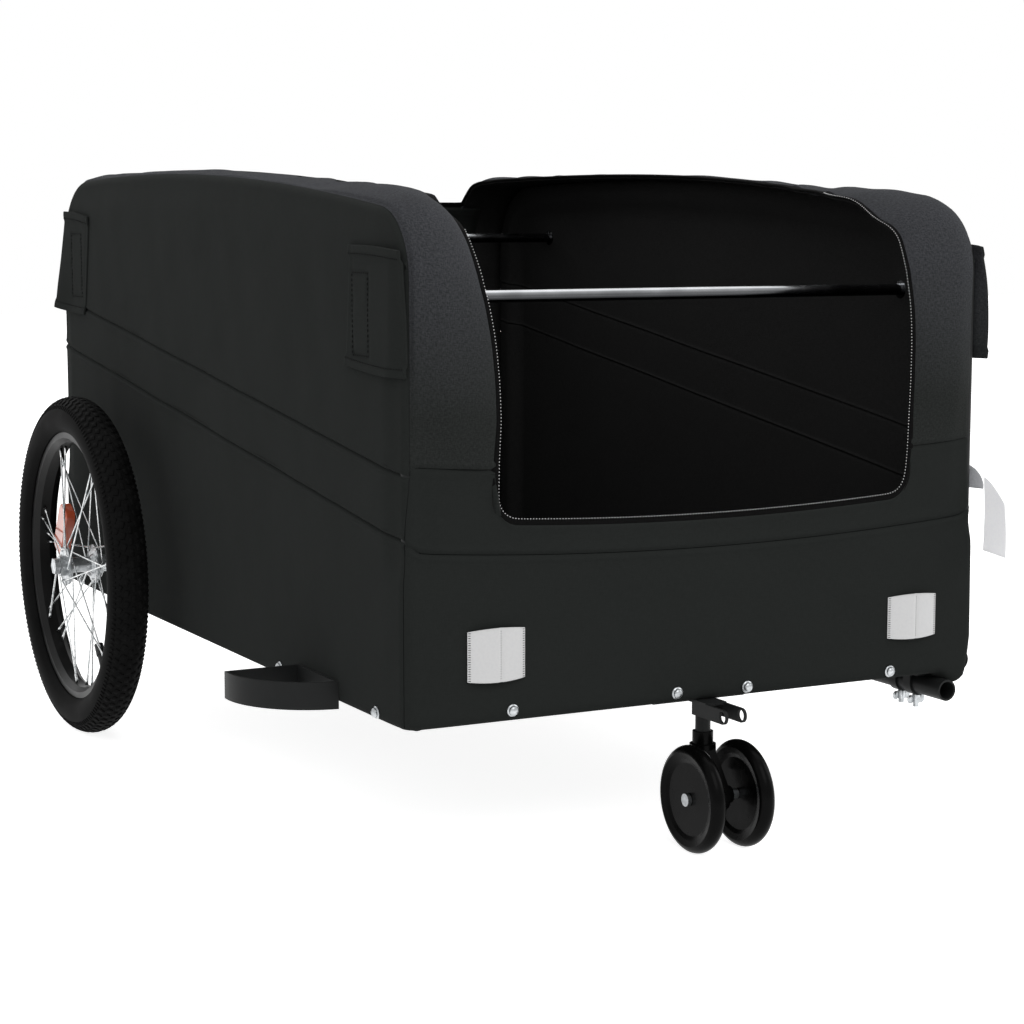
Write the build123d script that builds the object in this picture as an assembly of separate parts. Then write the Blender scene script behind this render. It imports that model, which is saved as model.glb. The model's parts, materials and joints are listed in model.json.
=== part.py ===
from build123d import *
import math
import os

# Two-wheeled cargo trailer for a bicycle: a tubular base with two side hoops, an open
# fabric tub, spoked wheels on stub axles, a twin-wheel swivel caster and a tow tube.
# Millimetres, +Z up, the front (towed) end faces -Y, +X is the trailer's left-hand side.
# The origin is on the ground, under the middle of the whole object.

# ---------------------------------------------------------------- driving dimensions
# tub
body_length = 1030.0
body_width = 650.0
body_bottom = 144.0
fabric = 4.0                    # cover with its foam backing
seat_gap = 0.3                  # a soft or bolted piece beside its neighbour
shoulder_front = 616.0          # height of the arch, carried out to the front face
crest = 661.0                   # height of the arch at its highest point
crest_ahead = 390.0             # distance of that point ahead of the rear face
shoulder_rear = 652.0
corner_front = 70.0             # radius where the arch turns down at the front
corner_rear = 95.0
band_foot = 380.0               # seams where the top bands meet the lower panels
band_foot_rear = 509.0
column = 95.0                   # cover left at each side of the front and top opening
opening_bow = 45.0              # the top opening is this much wider, each side, halfway
opening_sill = 326.0            # height of the sill of the front opening
opening_corner = 22.0
sill_rise = 6.0                 # the sill is this much higher at its ends
rear_top = 625.0                # top edge of the rear panel

# frame
rail_d = 22.0
rail_wall = 1.5
hoop_d = 16.0
hoop_wall = 1.5
bar_d = 12.0                    # crossbars
bar_wall = 1.2
front_bar_back = 126.0          # distance of the front crossbar behind the front face
front_bar_z = 533.0
rear_bar_ahead = 125.0          # distance of the rear crossbar ahead of the rear face
rear_bar_z = 581.0
strap_thickness = 3.0           # flat straps that carry the crossbars' ends
strap_height = 20.0
bar_flange_d = 19.0
bar_flange_t = 2.0
floor_thickness = 4.0
mid_beam_back = 330.0

# wheels, 16 inch with 47 mm tyres
tyre_section = 47.0
tyre_wall = 4.0
rim_flange_r = 159.0
rim_seat_r = 152.5
rim_bed_r = 145.5
rim_width = 25.0
rim_wall = 1.6
bead_gap = 0.2
wheel_out = 58.0                # a wheel's middle plane outside the tub's side
wheel_ahead = 246.0             # distance of the axle ahead of the rear face
hub_barrel_d = 24.0
hub_flange_d = 46.0
hub_flange_t = 3.0
hub_flange_spacing = 34.0       # between the flanges' middle planes
hub_length = 52.0
axle_d = 12.0
axle_nut_d = 20.0
axle_nut_t = 6.0
running_gap = 0.05              # radial, in every bearing
end_float = 0.5                 # along the axle, at each end of a hub
spoke_d = 2.0
spokes_per_side = 14
spoke_cross = 2.6               # turn of a spoke, in hole spacings of its own flange
spoke_clear_outside = 1.7       # off the flange's outer face, so that it clears the edge
spoke_clear_inside = 0.1
spoke_rim_offset = 3.0          # off the middle plane, at the rim
spoke_rim_stagger = 1.2
valve_d = 8.5
valve_length = 36.0
valve_angle = -127.0            # degrees up from straight back, seen from outside
reflector_length = 64.0
reflector_width = 30.0
reflector_t = 11.6
reflector_round = 9.0
reflector_r = 70.0
reflector_angle = 30.0

# axle brackets on the side rails
bracket_t = 5.0
bracket_width = 70.0
bracket_round = 24.0
spacer_d = 20.0

# wheel guards, bent flat bar ahead of each wheel
guard_bar = 3.0
guard_height = 27.0
guard_bottom = 139.0
guard_front_back = 148.0        # front end, behind the front face
guard_rear_back = 248.0
guard_reach = 79.0

# reflective patches
patch_width = 60.0
patch_height = 47.0
patch_z = 208.0
patch_in = 89.0                 # middle of a patch inside the tub's side
patch_proud = 4.0

# corner flaps
flap_length = 122.0
flap_height = 114.0
flap_t = 5.0
front_flap_z = 521.0
rear_flap_z = 553.0
flap_round = 4.0
flap_tilt = 3.0                 # degrees

# tow tube
tow_d = 22.0
tow_wall = 2.0
tow_in = 39.0                   # tow tube's axis inside the tub's side
tow_length = 190.0
tow_stub = 6.0                  # ahead of the front face
tow_plate_t = 6.0
tow_plate_front = 24.0          # plate's front edge behind the front face
tow_clip_backs = (45.0, 70.0)   # clips behind the front face
tow_clip_width = 12.0
tow_clip_t = 2.0
tow_bolt_d = 6.0                # clamp screw under each clip
tow_bolt_end = 13.0             # its end below the clip
tow_wing = 6.0                  # its wings reach this far from its axis

# caster
caster_wheel_d = 105.0
caster_wheel_w = 17.0
caster_spacing = 55.0
caster_tread = 14.0             # depth of the tyre outside the dish
caster_dish = 4.0
caster_trail = 26.5
stem_back = 8.5                 # swivel axis behind the front face
stem_d = 15.0
stem_foot = 76.0
collar_d = 20.5
collar_top = 112.0
lower_collar_d = 26.0
lower_collar_top = 99.5
lower_collar_foot = 70.0
horn_t = 13.0
horn_boss_r = 15.0
axle_boss_d = 17.0
axle_boss_half = 14.5           # the boss round the bolt reaches this far from the middle
caster_axle_d = 8.0
caster_head_d = 12.5
caster_head_t = 4.0
ear_t = 3.0
ear_gap = 18.0
ear_height = 14.0
ear_front = 51.0                # ear tips ahead of the front face
ear_back = 10.0                 # ears' rear ends behind the front face
ear_drop = 1.0                  # ears' top edges below the tub's bottom
ear_hole_d = 11.0
plate_t = 3.0
plate_half = 52.0
plate_front = 16.0              # plate's front edge behind the front face
plate_depth = 46.0
tongue_front = 15.0             # narrow tongue of the plate ahead of the front face

# hang tag
tag_width = 32.0
tag_height = 68.0
tag_t = 0.8
tag_top = 336.0
tag_out = 6.0                   # the tag hangs this far off the side panel
tag_back = 12.0
ribbon_width = 6.0

# ---------------------------------------------------------------- derived places
half_width = body_width / 2
opening_half = half_width - column
crest_back = body_length - crest_ahead
rear_bar_back = body_length - rear_bar_ahead
wheel_track = body_width + 2 * wheel_out
wheel_back = body_length - wheel_ahead
patch_x = half_width - patch_in
tow_x = half_width - tow_in
caster_r = caster_wheel_d / 2
wheel_r = rim_seat_r + tyre_section
section_r = tyre_section / 2
caster_reach = caster_trail - stem_back + caster_r      # caster ahead of the front face
rear_proud = patch_proud + seat_gap                     # rear patches behind the rear face
front_y = -(body_length + rear_proud - caster_reach) / 2
rail_z = body_bottom + rail_d / 2
inner_half = half_width - fabric
rail_x = inner_half - seat_gap - rail_d / 2
hoop_in = fabric + seat_gap + hoop_d / 2                # hoop's line inside the outline
hoop_x = inner_half - seat_gap - hoop_d / 2
floor_z = body_bottom + rail_d
front_rail_back = fabric + seat_gap + rail_d / 2
rear_rail_back = body_length - fabric - seat_gap - rail_d / 2
axle_y = front_y + wheel_back
side_out = half_width + seat_gap                        # face of what lies on a side panel
tow_z = body_bottom - tow_plate_t - tow_d / 2
stem_y = front_y + stem_back
caster_y = stem_y - caster_trail
ear_z1 = body_bottom - ear_drop
ear_z0 = ear_z1 - ear_height
plate_foot = body_bottom - plate_t


def behind(distance):
    """Y of a place that is this far behind the tub's front face."""
    return front_y + distance


# ---------------------------------------------------------------- helpers
def tube_along_x(x0, x1, y, z, outer_d, wall):
    """Round tube from x0 to x1."""
    ring = Circle(outer_d / 2) - Circle(outer_d / 2 - wall)
    return extrude(Plane((x0, y, z), x_dir=(0, 1, 0), z_dir=(1, 0, 0)) * ring, x1 - x0)


def tube_along_y(y0, y1, x, z, outer_d, wall):
    """Round tube from y0 to y1."""
    ring = Circle(outer_d / 2) - Circle(outer_d / 2 - wall)
    return extrude(Plane((x, y0, z), x_dir=(1, 0, 0), z_dir=(0, 1, 0)) * ring, y1 - y0)


def rod_along_x(x0, x1, y, z, d):
    """Solid rod from x0 to x1."""
    return extrude(Plane((x0, y, z), x_dir=(0, 1, 0), z_dir=(1, 0, 0)) * Circle(d / 2), x1 - x0)


def rod_along_z(z0, z1, x, y, d):
    """Upright solid rod from z0 to z1."""
    return extrude(Plane((x, y, z0)) * Circle(d / 2), z1 - z0)


def block(x0, x1, y0, y1, z0, z1):
    """Box between two corners."""
    middle = ((x0 + x1) / 2, (y0 + y1) / 2, (z0 + z1) / 2)
    return Pos(*middle) * Box(abs(x1 - x0), abs(y1 - y0), abs(z1 - z0))


def mirrored(shape):
    """The same piece on the other side of the trailer."""
    return mirror(shape, Plane.YZ)


def side_plane(x):
    """Plane across the trailer at x: local x runs back, local y runs up."""
    return Plane((x, 0, 0), x_dir=(0, 1, 0), z_dir=(1, 0, 0))


def arch_outline(inset):
    """Side view of the tub as a face in the side plane, drawn in by inset all round."""
    near = (behind(0), shoulder_front)
    top = (behind(crest_back), crest)
    far = (behind(body_length), shoulder_rear)
    edges = (
        Line((behind(0), body_bottom), near)
        + ThreePointArc(near, top, far)
        + Line(far, (behind(body_length), body_bottom))
        + Line((behind(body_length), body_bottom), (behind(0), body_bottom))
    )
    face = make_face(edges)
    corners = face.vertices().sort_by(Axis.Y)[-2:]
    front_corner, rear_corner = corners.sort_by(Axis.X)
    face = fillet(front_corner, corner_front)
    rear_corner = [v for v in face.vertices() if abs(v.Y - shoulder_rear) < 0.01]
    face = fillet(rear_corner, corner_rear)
    return offset(face, -inset, kind=Kind.INTERSECTION) if inset else face


def cover_ring(x0, x1, outer_inset, inner_inset):
    """Cover cloth that follows the tub's outline, from x0 to x1, with no bottom."""
    ring = arch_outline(outer_inset) - arch_outline(inner_inset)
    cloth = extrude(side_plane(x0) * ring, x1 - x0)
    under = block(x0 - 1, x1 + 1, behind(fabric), behind(body_length - fabric),
                  body_bottom - 1, body_bottom + 2 * fabric)
    return cloth - under


# ---------------------------------------------------------------- base and hoops
def side_rail():
    return tube_along_y(behind(fabric + seat_gap), behind(body_length - fabric - seat_gap),
                        rail_x, rail_z, rail_d, rail_wall)


def side_rail_core():
    """The side rails as full rods, to fit other tubes' ends against them."""
    right = extrude(Plane((rail_x, behind(0), rail_z), x_dir=(1, 0, 0), z_dir=(0, 1, 0))
                    * Circle(rail_d / 2), body_length)
    return right + mirrored(right)


def cross_rail(distance):
    """Cross tube between the side rails, its ends fitted to them."""
    tube = tube_along_x(-rail_x, rail_x, behind(distance), rail_z, rail_d, rail_wall)
    return (tube - side_rail_core()).solids().sort_by(SortBy.VOLUME)[-1]


def along_arch(section):
    """Section swept up the front leg of the +X hoop, over the arch and down the rear leg."""
    edges = [e for e in arch_outline(hoop_in).edges() if e.center().Y > body_bottom + hoop_in + 1]
    path = Wire([side_plane(hoop_x).location * e for e in edges])
    return sweep(Plane(path @ 0, z_dir=path % 0) * section, path=path)


def hoop_core():
    """The +X hoop as a full rod, to fit other pieces against it."""
    return along_arch(Circle(hoop_d / 2))


def hoop():
    """Bent tube that stands on the rails and follows the arch."""
    tube = along_arch(Circle(hoop_d / 2) - Circle(hoop_d / 2 - hoop_wall))
    tube = tube - block(0, body_width, behind(0), behind(body_length),
                        body_bottom - 50, rail_z)
    for distance in (front_rail_back, rear_rail_back):
        tube = tube - rod_along_x(0, rail_x, behind(distance), rail_z, rail_d)
    return (tube - side_rail_core()).solids().sort_by(SortBy.VOLUME)[-1]


def hoop_leg_y(at_front):
    return behind(hoop_in) if at_front else behind(body_length - hoop_in)


def crossbar(distance, z):
    """Bar across the tub with a flange at each end that meets the side's strap."""
    end = inner_half - seat_gap - strap_thickness
    bar = tube_along_x(-end, end, behind(distance), z, bar_d, bar_wall)
    for sign in (-1, 1):
        flange = rod_along_x(sign * end, sign * (end - bar_flange_t), behind(distance), z,
                             bar_flange_d)
        bore = rod_along_x(sign * end, sign * (end - bar_flange_t), behind(distance), z,
                           bar_d - 2 * bar_wall)
        bar = bar + (flange - bore)
    return bar


def crossbar_strap(distance, z, at_front):
    """Flat strap from the hoop's leg to the end of a crossbar, against the side panel."""
    leg = hoop_leg_y(at_front)
    inward = 1 if at_front else -1
    start = leg + inward * (hoop_d / 2)
    finish = behind(distance)
    x1 = inner_half - seat_gap
    x0 = x1 - strap_thickness
    straight = block(x0, x1, min(start, finish), max(start, finish),
                     z - strap_height / 2, z + strap_height / 2)
    rounded = rod_along_x(x0, x1, finish, z, strap_height)
    tab = block(x0, x1, min(leg, start), max(leg, start), z - strap_height / 2,
                z + strap_height / 2)
    strap = (straight + rounded + tab) - hoop_core()
    return strap.solids().sort_by(SortBy.VOLUME)[-1]


def floor_panel():
    """Floor board on top of the rails, notched round the hoops' legs."""
    edge = fabric + seat_gap
    board = block(-(inner_half - seat_gap), inner_half - seat_gap, behind(edge),
                  behind(body_length - edge), floor_z, floor_z + floor_thickness)
    notch = hoop_d / 2 + seat_gap
    for sign in (-1, 1):
        for at_front in (True, False):
            leg = hoop_leg_y(at_front)
            board_end = behind(0) if at_front else behind(body_length)
            inner = leg + (notch if at_front else -notch)
            board = board - block(sign * (hoop_x - notch), sign * half_width,
                                  min(inner, board_end), max(inner, board_end),
                                  floor_z - 1, floor_z + floor_thickness + 1)
    return board


# ---------------------------------------------------------------- cover
def side_panel():
    """Side of the cover, with the arched outline, on the +X side."""
    return extrude(side_plane(inner_half) * arch_outline(0), fabric)


def front_opening():
    """What is cut out of the front, as an upright prism."""
    sill_end = opening_sill + sill_rise
    outline = (
        ThreePointArc((-opening_half, sill_end), (0, opening_sill), (opening_half, sill_end))
        + Line((opening_half, sill_end), (opening_half, crest))
        + Line((opening_half, crest), (-opening_half, crest))
        + Line((-opening_half, crest), (-opening_half, sill_end))
    )
    face = make_face(outline)
    low = face.vertices().sort_by(Axis.Y)[:2]
    face = fillet(low, opening_corner)
    upright = Plane((0, behind(-fabric), 0), x_dir=(1, 0, 0), z_dir=(0, -1, 0))
    return extrude(upright * face, -3 * fabric)


def front_panel():
    """Lower front of the cover, up to the seam below the top bands."""
    panel = block(-inner_half, inner_half, behind(0), behind(fabric), body_bottom, band_foot)
    return panel - front_opening()


def rear_panel():
    """Back of the cover: full width below the bands, between them above."""
    ring = cover_ring(-inner_half, inner_half, 0, fabric)
    back = ring & block(-half_width, half_width, behind(body_length - 2 * corner_rear),
                        behind(body_length), body_bottom, rear_top)
    for sign in (-1, 1):
        back = back - block(sign * opening_half, sign * half_width, behind(0),
                            behind(body_length), band_foot_rear, crest)
    return back.solids().sort_by(SortBy.VOLUME)[-1]


def top_band():
    """Band of cover over the +X hoop, from the front seam over the arch to the rear one."""
    ring = cover_ring(opening_half, inner_half, 0, fabric)
    middle = behind(body_length / 2)
    band = ring - block(0, body_width, behind(0), middle, 0, band_foot)
    band = band - block(0, body_width, middle, behind(body_length), 0, band_foot_rear)
    start = behind(front_bar_back)
    finish = behind(rear_bar_back)
    bow = make_face(
        ThreePointArc((opening_half, start), (opening_half + opening_bow, (start + finish) / 2),
                      (opening_half, finish))
        + Line((opening_half, finish), (opening_half, start))
    )
    gap = extrude(Plane((0, 0, band_foot)) * bow, crest)
    return (band - gap).solids().sort_by(SortBy.VOLUME)[-1]


def flap(at_front):
    """Corner flap on the +X side that covers the fixing of a crossbar."""
    z = front_flap_z if at_front else rear_flap_z
    middle = flap_length / 2 - 1 if at_front else body_length - flap_length / 2 + 1
    plate = Box(flap_t, flap_length, flap_height)
    plate = fillet(plate.edges().filter_by(Axis.X), flap_round)
    return Pos(side_out + flap_t / 2, behind(middle), z) * Rot(flap_tilt, 0, 0) * plate


def corner_flaps():
    right = [flap(True), flap(False)]
    return Compound(right + [mirrored(f) for f in right])


def patch(x, at_front):
    """Reflective patch, bulged between its sewn sides."""
    half = patch_width / 2
    profile = make_face(
        ThreePointArc((-half, 1.0), (0, patch_proud), (half, 1.0))
        + Line((half, 1.0), (half, 0))
        + Line((half, 0), (-half, 0))
        + Line((-half, 0), (-half, 1.0))
    )
    solid = extrude(profile, patch_height)
    solid = Pos(0, 0, patch_z - patch_height / 2) * solid
    if at_front:
        return Pos(x, behind(-seat_gap), 0) * Rot(0, 0, 180) * solid
    return Pos(x, behind(body_length + seat_gap), 0) * solid


def patches(at_front):
    return Compound([patch(-patch_x, at_front), patch(patch_x, at_front)])


def hang_tag():
    """Blank care tag with the ribbon loop it hangs on, on the +X side."""
    x = half_width + tag_out
    card = block(x, x + tag_t, behind(tag_back - tag_width), behind(tag_back),
                 tag_top - tag_height, tag_top)
    ribbon = block(half_width + seat_gap, x + tag_t, behind(tag_back - 1.5 * ribbon_width),
                   behind(tag_back - ribbon_width / 2), tag_top, tag_top + tag_t)
    return card + ribbon


# ---------------------------------------------------------------- wheels
def wheel_plane(x, sign):
    """Plane of a wheel with local z outwards."""
    return Plane((sign * x, axle_y, wheel_r), x_dir=(0, 1, 0), z_dir=(sign, 0, 0))


def ring_of(profile, sign):
    """Profile drawn as (radius, offset outwards), turned about the wheel's axle."""
    outline = make_face(Polyline(*profile, close=True))
    turned = revolve(Plane.XZ * outline, Axis.Z)
    return wheel_plane(wheel_track / 2, sign) * turned


def tyre(sign):
    """Hollow tyre whose feet stand on the rim."""
    centre = wheel_r - section_r
    outer = Location((centre, 0)) * Circle(section_r)
    inner = Location((centre, 0)) * Circle(section_r - tyre_wall)
    half = rim_width / 2 + bead_gap
    seat = Location((rim_flange_r - 40, 0)) * Rectangle(2 * (40 + bead_gap), 2 * half)
    section = outer - inner - seat
    turned = revolve(Plane.XZ * section, Axis.Z)
    return wheel_plane(wheel_track / 2, sign) * turned


def rim(sign):
    """Rim with hooked flanges, bead seats and a deeper bed for the spokes."""
    half = rim_width / 2
    well = half * 0.5
    profile = [
        (rim_flange_r, half), (rim_flange_r, half - rim_wall),
        (rim_seat_r + rim_wall, half - rim_wall), (rim_seat_r, half - 2 * rim_wall),
        (rim_seat_r, well), (rim_bed_r + rim_wall, well - rim_wall),
        (rim_bed_r + rim_wall, -well + rim_wall), (rim_seat_r, -well),
        (rim_seat_r, -half + 2 * rim_wall), (rim_seat_r + rim_wall, -half + rim_wall),
        (rim_flange_r, -half + rim_wall), (rim_flange_r, -half),
        (rim_seat_r - rim_wall, -half), (rim_bed_r, -well),
        (rim_bed_r, well), (rim_seat_r - rim_wall, half),
    ]
    body = ring_of(profile, sign)
    hole = valve_at(sign, rim_bed_r - 2, rim_seat_r + 2, valve_d + 0.4)
    return body - hole


def hub(sign):
    """Two-flange hub with a bore that runs on the axle."""
    barrel = hub_barrel_d / 2
    waist = barrel - 3
    end = hub_length / 2
    out = hub_flange_spacing / 2 + hub_flange_t / 2
    inn = hub_flange_spacing / 2 - hub_flange_t / 2
    flange = hub_flange_d / 2
    bore = axle_d / 2 + running_gap
    profile = [
        (bore, -end), (barrel, -end), (barrel, -out), (flange, -out), (flange, -inn),
        (barrel, -inn), (waist, -inn + 4), (waist, inn - 4), (barrel, inn), (flange, inn),
        (flange, out), (barrel, out), (barrel, end), (bore, end),
    ]
    return ring_of(profile, sign)


def spokes(sign):
    """Crossed spokes, each from its flange's face to the bed of the rim."""
    rods = []
    step = 360 / spokes_per_side
    hole_r = hub_flange_d / 2 - 4
    for side in (-1, 1):
        for i in range(spokes_per_side):
            way_round = 1 if i % 2 else -1
            hub_angle = math.radians((i + side / 4) * step)
            rim_angle = hub_angle + math.radians(way_round * spoke_cross * step)
            clear = spoke_clear_outside if way_round > 0 else spoke_clear_inside
            off_flange = hub_flange_t / 2 + spoke_d / 2 + clear
            hub_offset = side * (hub_flange_spacing / 2 + way_round * off_flange)
            rim_offset = side * (spoke_rim_offset + way_round * spoke_rim_stagger)
            start = Vector(hole_r * math.cos(hub_angle), hole_r * math.sin(hub_angle), hub_offset)
            end_r = rim_bed_r - spoke_d / 2 - 0.2
            finish = Vector(end_r * math.cos(rim_angle), end_r * math.sin(rim_angle), rim_offset)
            way = finish - start
            rod = extrude(Plane(start, z_dir=way) * Circle(spoke_d / 2), way.length)
            rods.append(wheel_plane(wheel_track / 2, sign) * rod)
    return Compound(rods)


def valve_at(sign, r0, r1, d):
    """Radial rod at the valve's angle, from r0 to r1."""
    angle = math.radians(valve_angle) * sign
    way = Vector(math.cos(angle), math.sin(angle), 0)
    rod = extrude(Plane(way * r0, z_dir=way) * Circle(d / 2), r1 - r0)
    return wheel_plane(wheel_track / 2, sign) * rod


def valve(sign):
    """Tyre valve that stands in from the rim's bed, with its cap."""
    stem = valve_at(sign, rim_bed_r - valve_length, rim_seat_r, valve_d)
    cap = valve_at(sign, rim_bed_r - valve_length - 2, rim_bed_r - valve_length + 12, valve_d + 2)
    return stem + cap


def spoke_reflector(sign):
    """Moulded reflector that sits between the spokes."""
    plate = Box(reflector_width, reflector_length, reflector_t)
    plate = fillet(plate.edges().filter_by(Axis.Z), reflector_round)
    plate = chamfer(plate.edges().group_by(Axis.Z)[-1], 1.5)
    placed = Rot(0, 0, sign * reflector_angle) * Pos(reflector_r, 0, 0) * plate
    return wheel_plane(wheel_track / 2, sign) * placed


def axle(sign):
    """Stub axle welded in its bracket: spacer, journal and end nut."""
    inner = half_width + seat_gap
    hub_in = wheel_track / 2 - hub_length / 2 - end_float
    hub_out = wheel_track / 2 + hub_length / 2 + end_float
    journal = rod_along_x(inner, hub_out, axle_y, wheel_r, axle_d)
    spacer = rod_along_x(inner + bracket_t, hub_in, axle_y, wheel_r, spacer_d)
    nut_face = Plane((hub_out, axle_y, wheel_r), x_dir=(0, 1, 0), z_dir=(1, 0, 0))
    nut = extrude(nut_face * RegularPolygon(axle_nut_d / 2, 6), axle_nut_t)
    pin = journal + spacer + nut
    return pin if sign > 0 else mirrored(pin)


def axle_bracket(sign):
    """Upright plate on the outside of the side rail that holds the stub axle."""
    inner = half_width + seat_gap
    plane = side_plane(inner)
    foot = Location((axle_y, (body_bottom + wheel_r) / 2)) * Rectangle(bracket_width,
                                                                     wheel_r - body_bottom)
    shoulder = Location((axle_y, wheel_r)) * Circle(bracket_round)
    outline = make_hull((foot + shoulder).edges())
    hole = Location((axle_y, wheel_r)) * Circle(axle_d / 2)
    plate = extrude(plane * (outline - hole), bracket_t)
    return plate if sign > 0 else mirrored(plate)


def wheel_guard(sign):
    """Bent flat bar that keeps things out of the way of the wheel."""
    x0 = side_out
    x1 = side_out + guard_reach
    y0 = behind(guard_front_back)
    y1 = behind(guard_rear_back)
    depth = y1 - y0
    bulge = ((x0 + guard_reach * 0.72), y0 + depth * 0.30)
    outer = make_face(
        ThreePointArc((x0, y0), bulge, (x1, y1))
        + Line((x1, y1), (x0, y1)) + Line((x0, y1), (x0, y0))
    )
    inner = offset(outer, -guard_bar, kind=Kind.INTERSECTION)
    bar = extrude(Plane((0, 0, guard_bottom)) * (outer - inner), guard_height)
    return bar if sign > 0 else mirrored(bar)


# ---------------------------------------------------------------- tow tube
def tow_tube():
    """Open-ended tube that takes the tow bar."""
    return tube_along_y(behind(-tow_stub), behind(tow_length - tow_stub), tow_x, tow_z, tow_d,
                        tow_wall)


def tow_plate():
    """Plate under the side and front rails that the tow tube lies against."""
    x0 = tow_x - tow_d / 2 - 2 * tow_clip_t
    return block(x0, inner_half - seat_gap, behind(tow_plate_front), behind(tow_length - 20),
                 body_bottom - tow_plate_t, body_bottom)


def tow_clip(back):
    """Strap from the plate, down one side, round under the tube and up to the plate again."""
    r0 = tow_d / 2
    r1 = r0 + tow_clip_t
    under_plate = body_bottom - tow_plate_t - tow_z
    ring = Circle(r1) - Circle(r0)
    ring = ring - Pos(0, r1) * Rectangle(4 * r1, 2 * r1)
    legs = [Pos(sign * (r0 + r1) / 2, under_plate / 2) * Rectangle(tow_clip_t, under_plate)
            for sign in (-1, 1)]
    y0 = behind(back - tow_clip_width / 2)
    upright = Plane((tow_x, y0, tow_z), x_dir=(1, 0, 0), z_dir=(0, -1, 0))
    return extrude(upright * (ring + legs[0] + legs[1]), -tow_clip_width)


def tow_clips():
    return Compound([tow_clip(back) for back in tow_clip_backs])


def tow_bolts():
    """Winged clamp screws, one under each clip."""
    screws = []
    seat = tow_z - tow_d / 2 - tow_clip_t
    for back in tow_clip_backs:
        y = behind(back)
        shank = rod_along_z(seat - tow_bolt_end, seat, tow_x, y, tow_bolt_d)
        nut = rod_along_z(seat - 5, seat, tow_x, y, tow_bolt_d * 1.7)
        wings = block(tow_x - tow_wing, tow_x + tow_wing, y - 1.2, y + 1.2, seat - 9, seat - 1)
        screws.append(shank + nut + wings)
    return Compound(screws)


# ---------------------------------------------------------------- caster
def caster_bracket():
    """Plate under the front rail whose narrow tongue carries two ears, each with an eye."""
    outer = ear_gap / 2 + ear_t
    plate = block(-plate_half, plate_half, behind(plate_front), behind(plate_depth),
                  plate_foot, body_bottom)
    tongue = block(-outer, outer, behind(-tongue_front), behind(plate_depth), plate_foot,
                   body_bottom)
    bracket = plate + tongue
    tip = behind(-ear_front) + ear_height / 2
    middle = (ear_z0 + ear_z1) / 2
    for x0 in (-outer, ear_gap / 2):
        strip = block(x0, x0 + ear_t, tip, behind(ear_back), ear_z0, ear_z1)
        end = rod_along_x(x0, x0 + ear_t, tip, middle, ear_height)
        hole = rod_along_x(x0, x0 + ear_t, tip, middle, ear_hole_d)
        bracket = bracket + (strip + end - hole)
    return bracket


def caster_stem():
    """Fixed pin that the caster turns on."""
    return rod_along_z(stem_foot, plate_foot, 0, stem_y, stem_d)


def caster_fork():
    """Swivel head: socket with two collars and a horn that carries the axle in its boss."""
    bore_foot = stem_foot - 1
    socket = rod_along_z(lower_collar_foot, lower_collar_top, 0, stem_y, lower_collar_d)
    neck = rod_along_z(lower_collar_top, collar_top, 0, stem_y, collar_d)
    horn_plane = side_plane(-horn_t / 2)
    axle_boss = Location((caster_y, caster_r)) * Circle(horn_boss_r)
    root = Location((stem_y, (lower_collar_foot + lower_collar_top) / 2)) * Rectangle(
        lower_collar_d - 2, lower_collar_top - lower_collar_foot - 8)
    horn = extrude(horn_plane * make_hull((axle_boss + root).edges()), horn_t)
    boss = rod_along_x(-axle_boss_half, axle_boss_half, caster_y, caster_r, axle_boss_d)
    bore = rod_along_z(bore_foot, collar_top + 1, 0, stem_y, stem_d + 2 * running_gap)
    axle_hole = rod_along_x(-axle_boss_half, axle_boss_half, caster_y, caster_r, caster_axle_d)
    return socket + neck + horn + boss - bore - axle_hole


def caster_axle():
    """Bolt through horn and wheels, with shoulders that space the wheels out."""
    web = caster_wheel_w / 2 - caster_dish
    web_in = caster_spacing / 2 - web - end_float
    web_out = caster_spacing / 2 + web + end_float
    pin = rod_along_x(-web_out, web_out, caster_y, caster_r, caster_axle_d)
    for sign in (-1, 1):
        shoulder = rod_along_x(sign * axle_boss_half, sign * web_in, caster_y, caster_r,
                               caster_axle_d * 1.3)
        head = rod_along_x(sign * web_out, sign * (web_out + caster_head_t), caster_y, caster_r,
                           caster_head_d)
        pin = pin + shoulder + head
    return pin


def caster_wheel(sign):
    """Solid wheel with a rounded tread and a flat web sunk on both faces."""
    half = caster_wheel_w / 2
    bore = caster_axle_d / 2 + running_gap
    web = half - caster_dish
    rim_in = caster_r - caster_tread
    shoulder = caster_r - caster_tread / 2
    side = [(bore, web), (rim_in - 3, web), (rim_in + 1, half - 2), (shoulder, half)]
    mirror_side = [(r, -z) for r, z in reversed(side)]
    outline = (
        Polyline(*side)
        + ThreePointArc(side[-1], (caster_r, 0), mirror_side[0])
        + Polyline(*mirror_side)
        + Line(mirror_side[-1], side[0])
    )
    turned = revolve(Plane.XZ * make_face(outline), Axis.Z)
    place = Plane((sign * caster_spacing / 2, caster_y, caster_r), x_dir=(0, 1, 0), z_dir=(1, 0, 0))
    return place * turned


def caster_wheels():
    return Compound([caster_wheel(-1), caster_wheel(1)])


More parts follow.
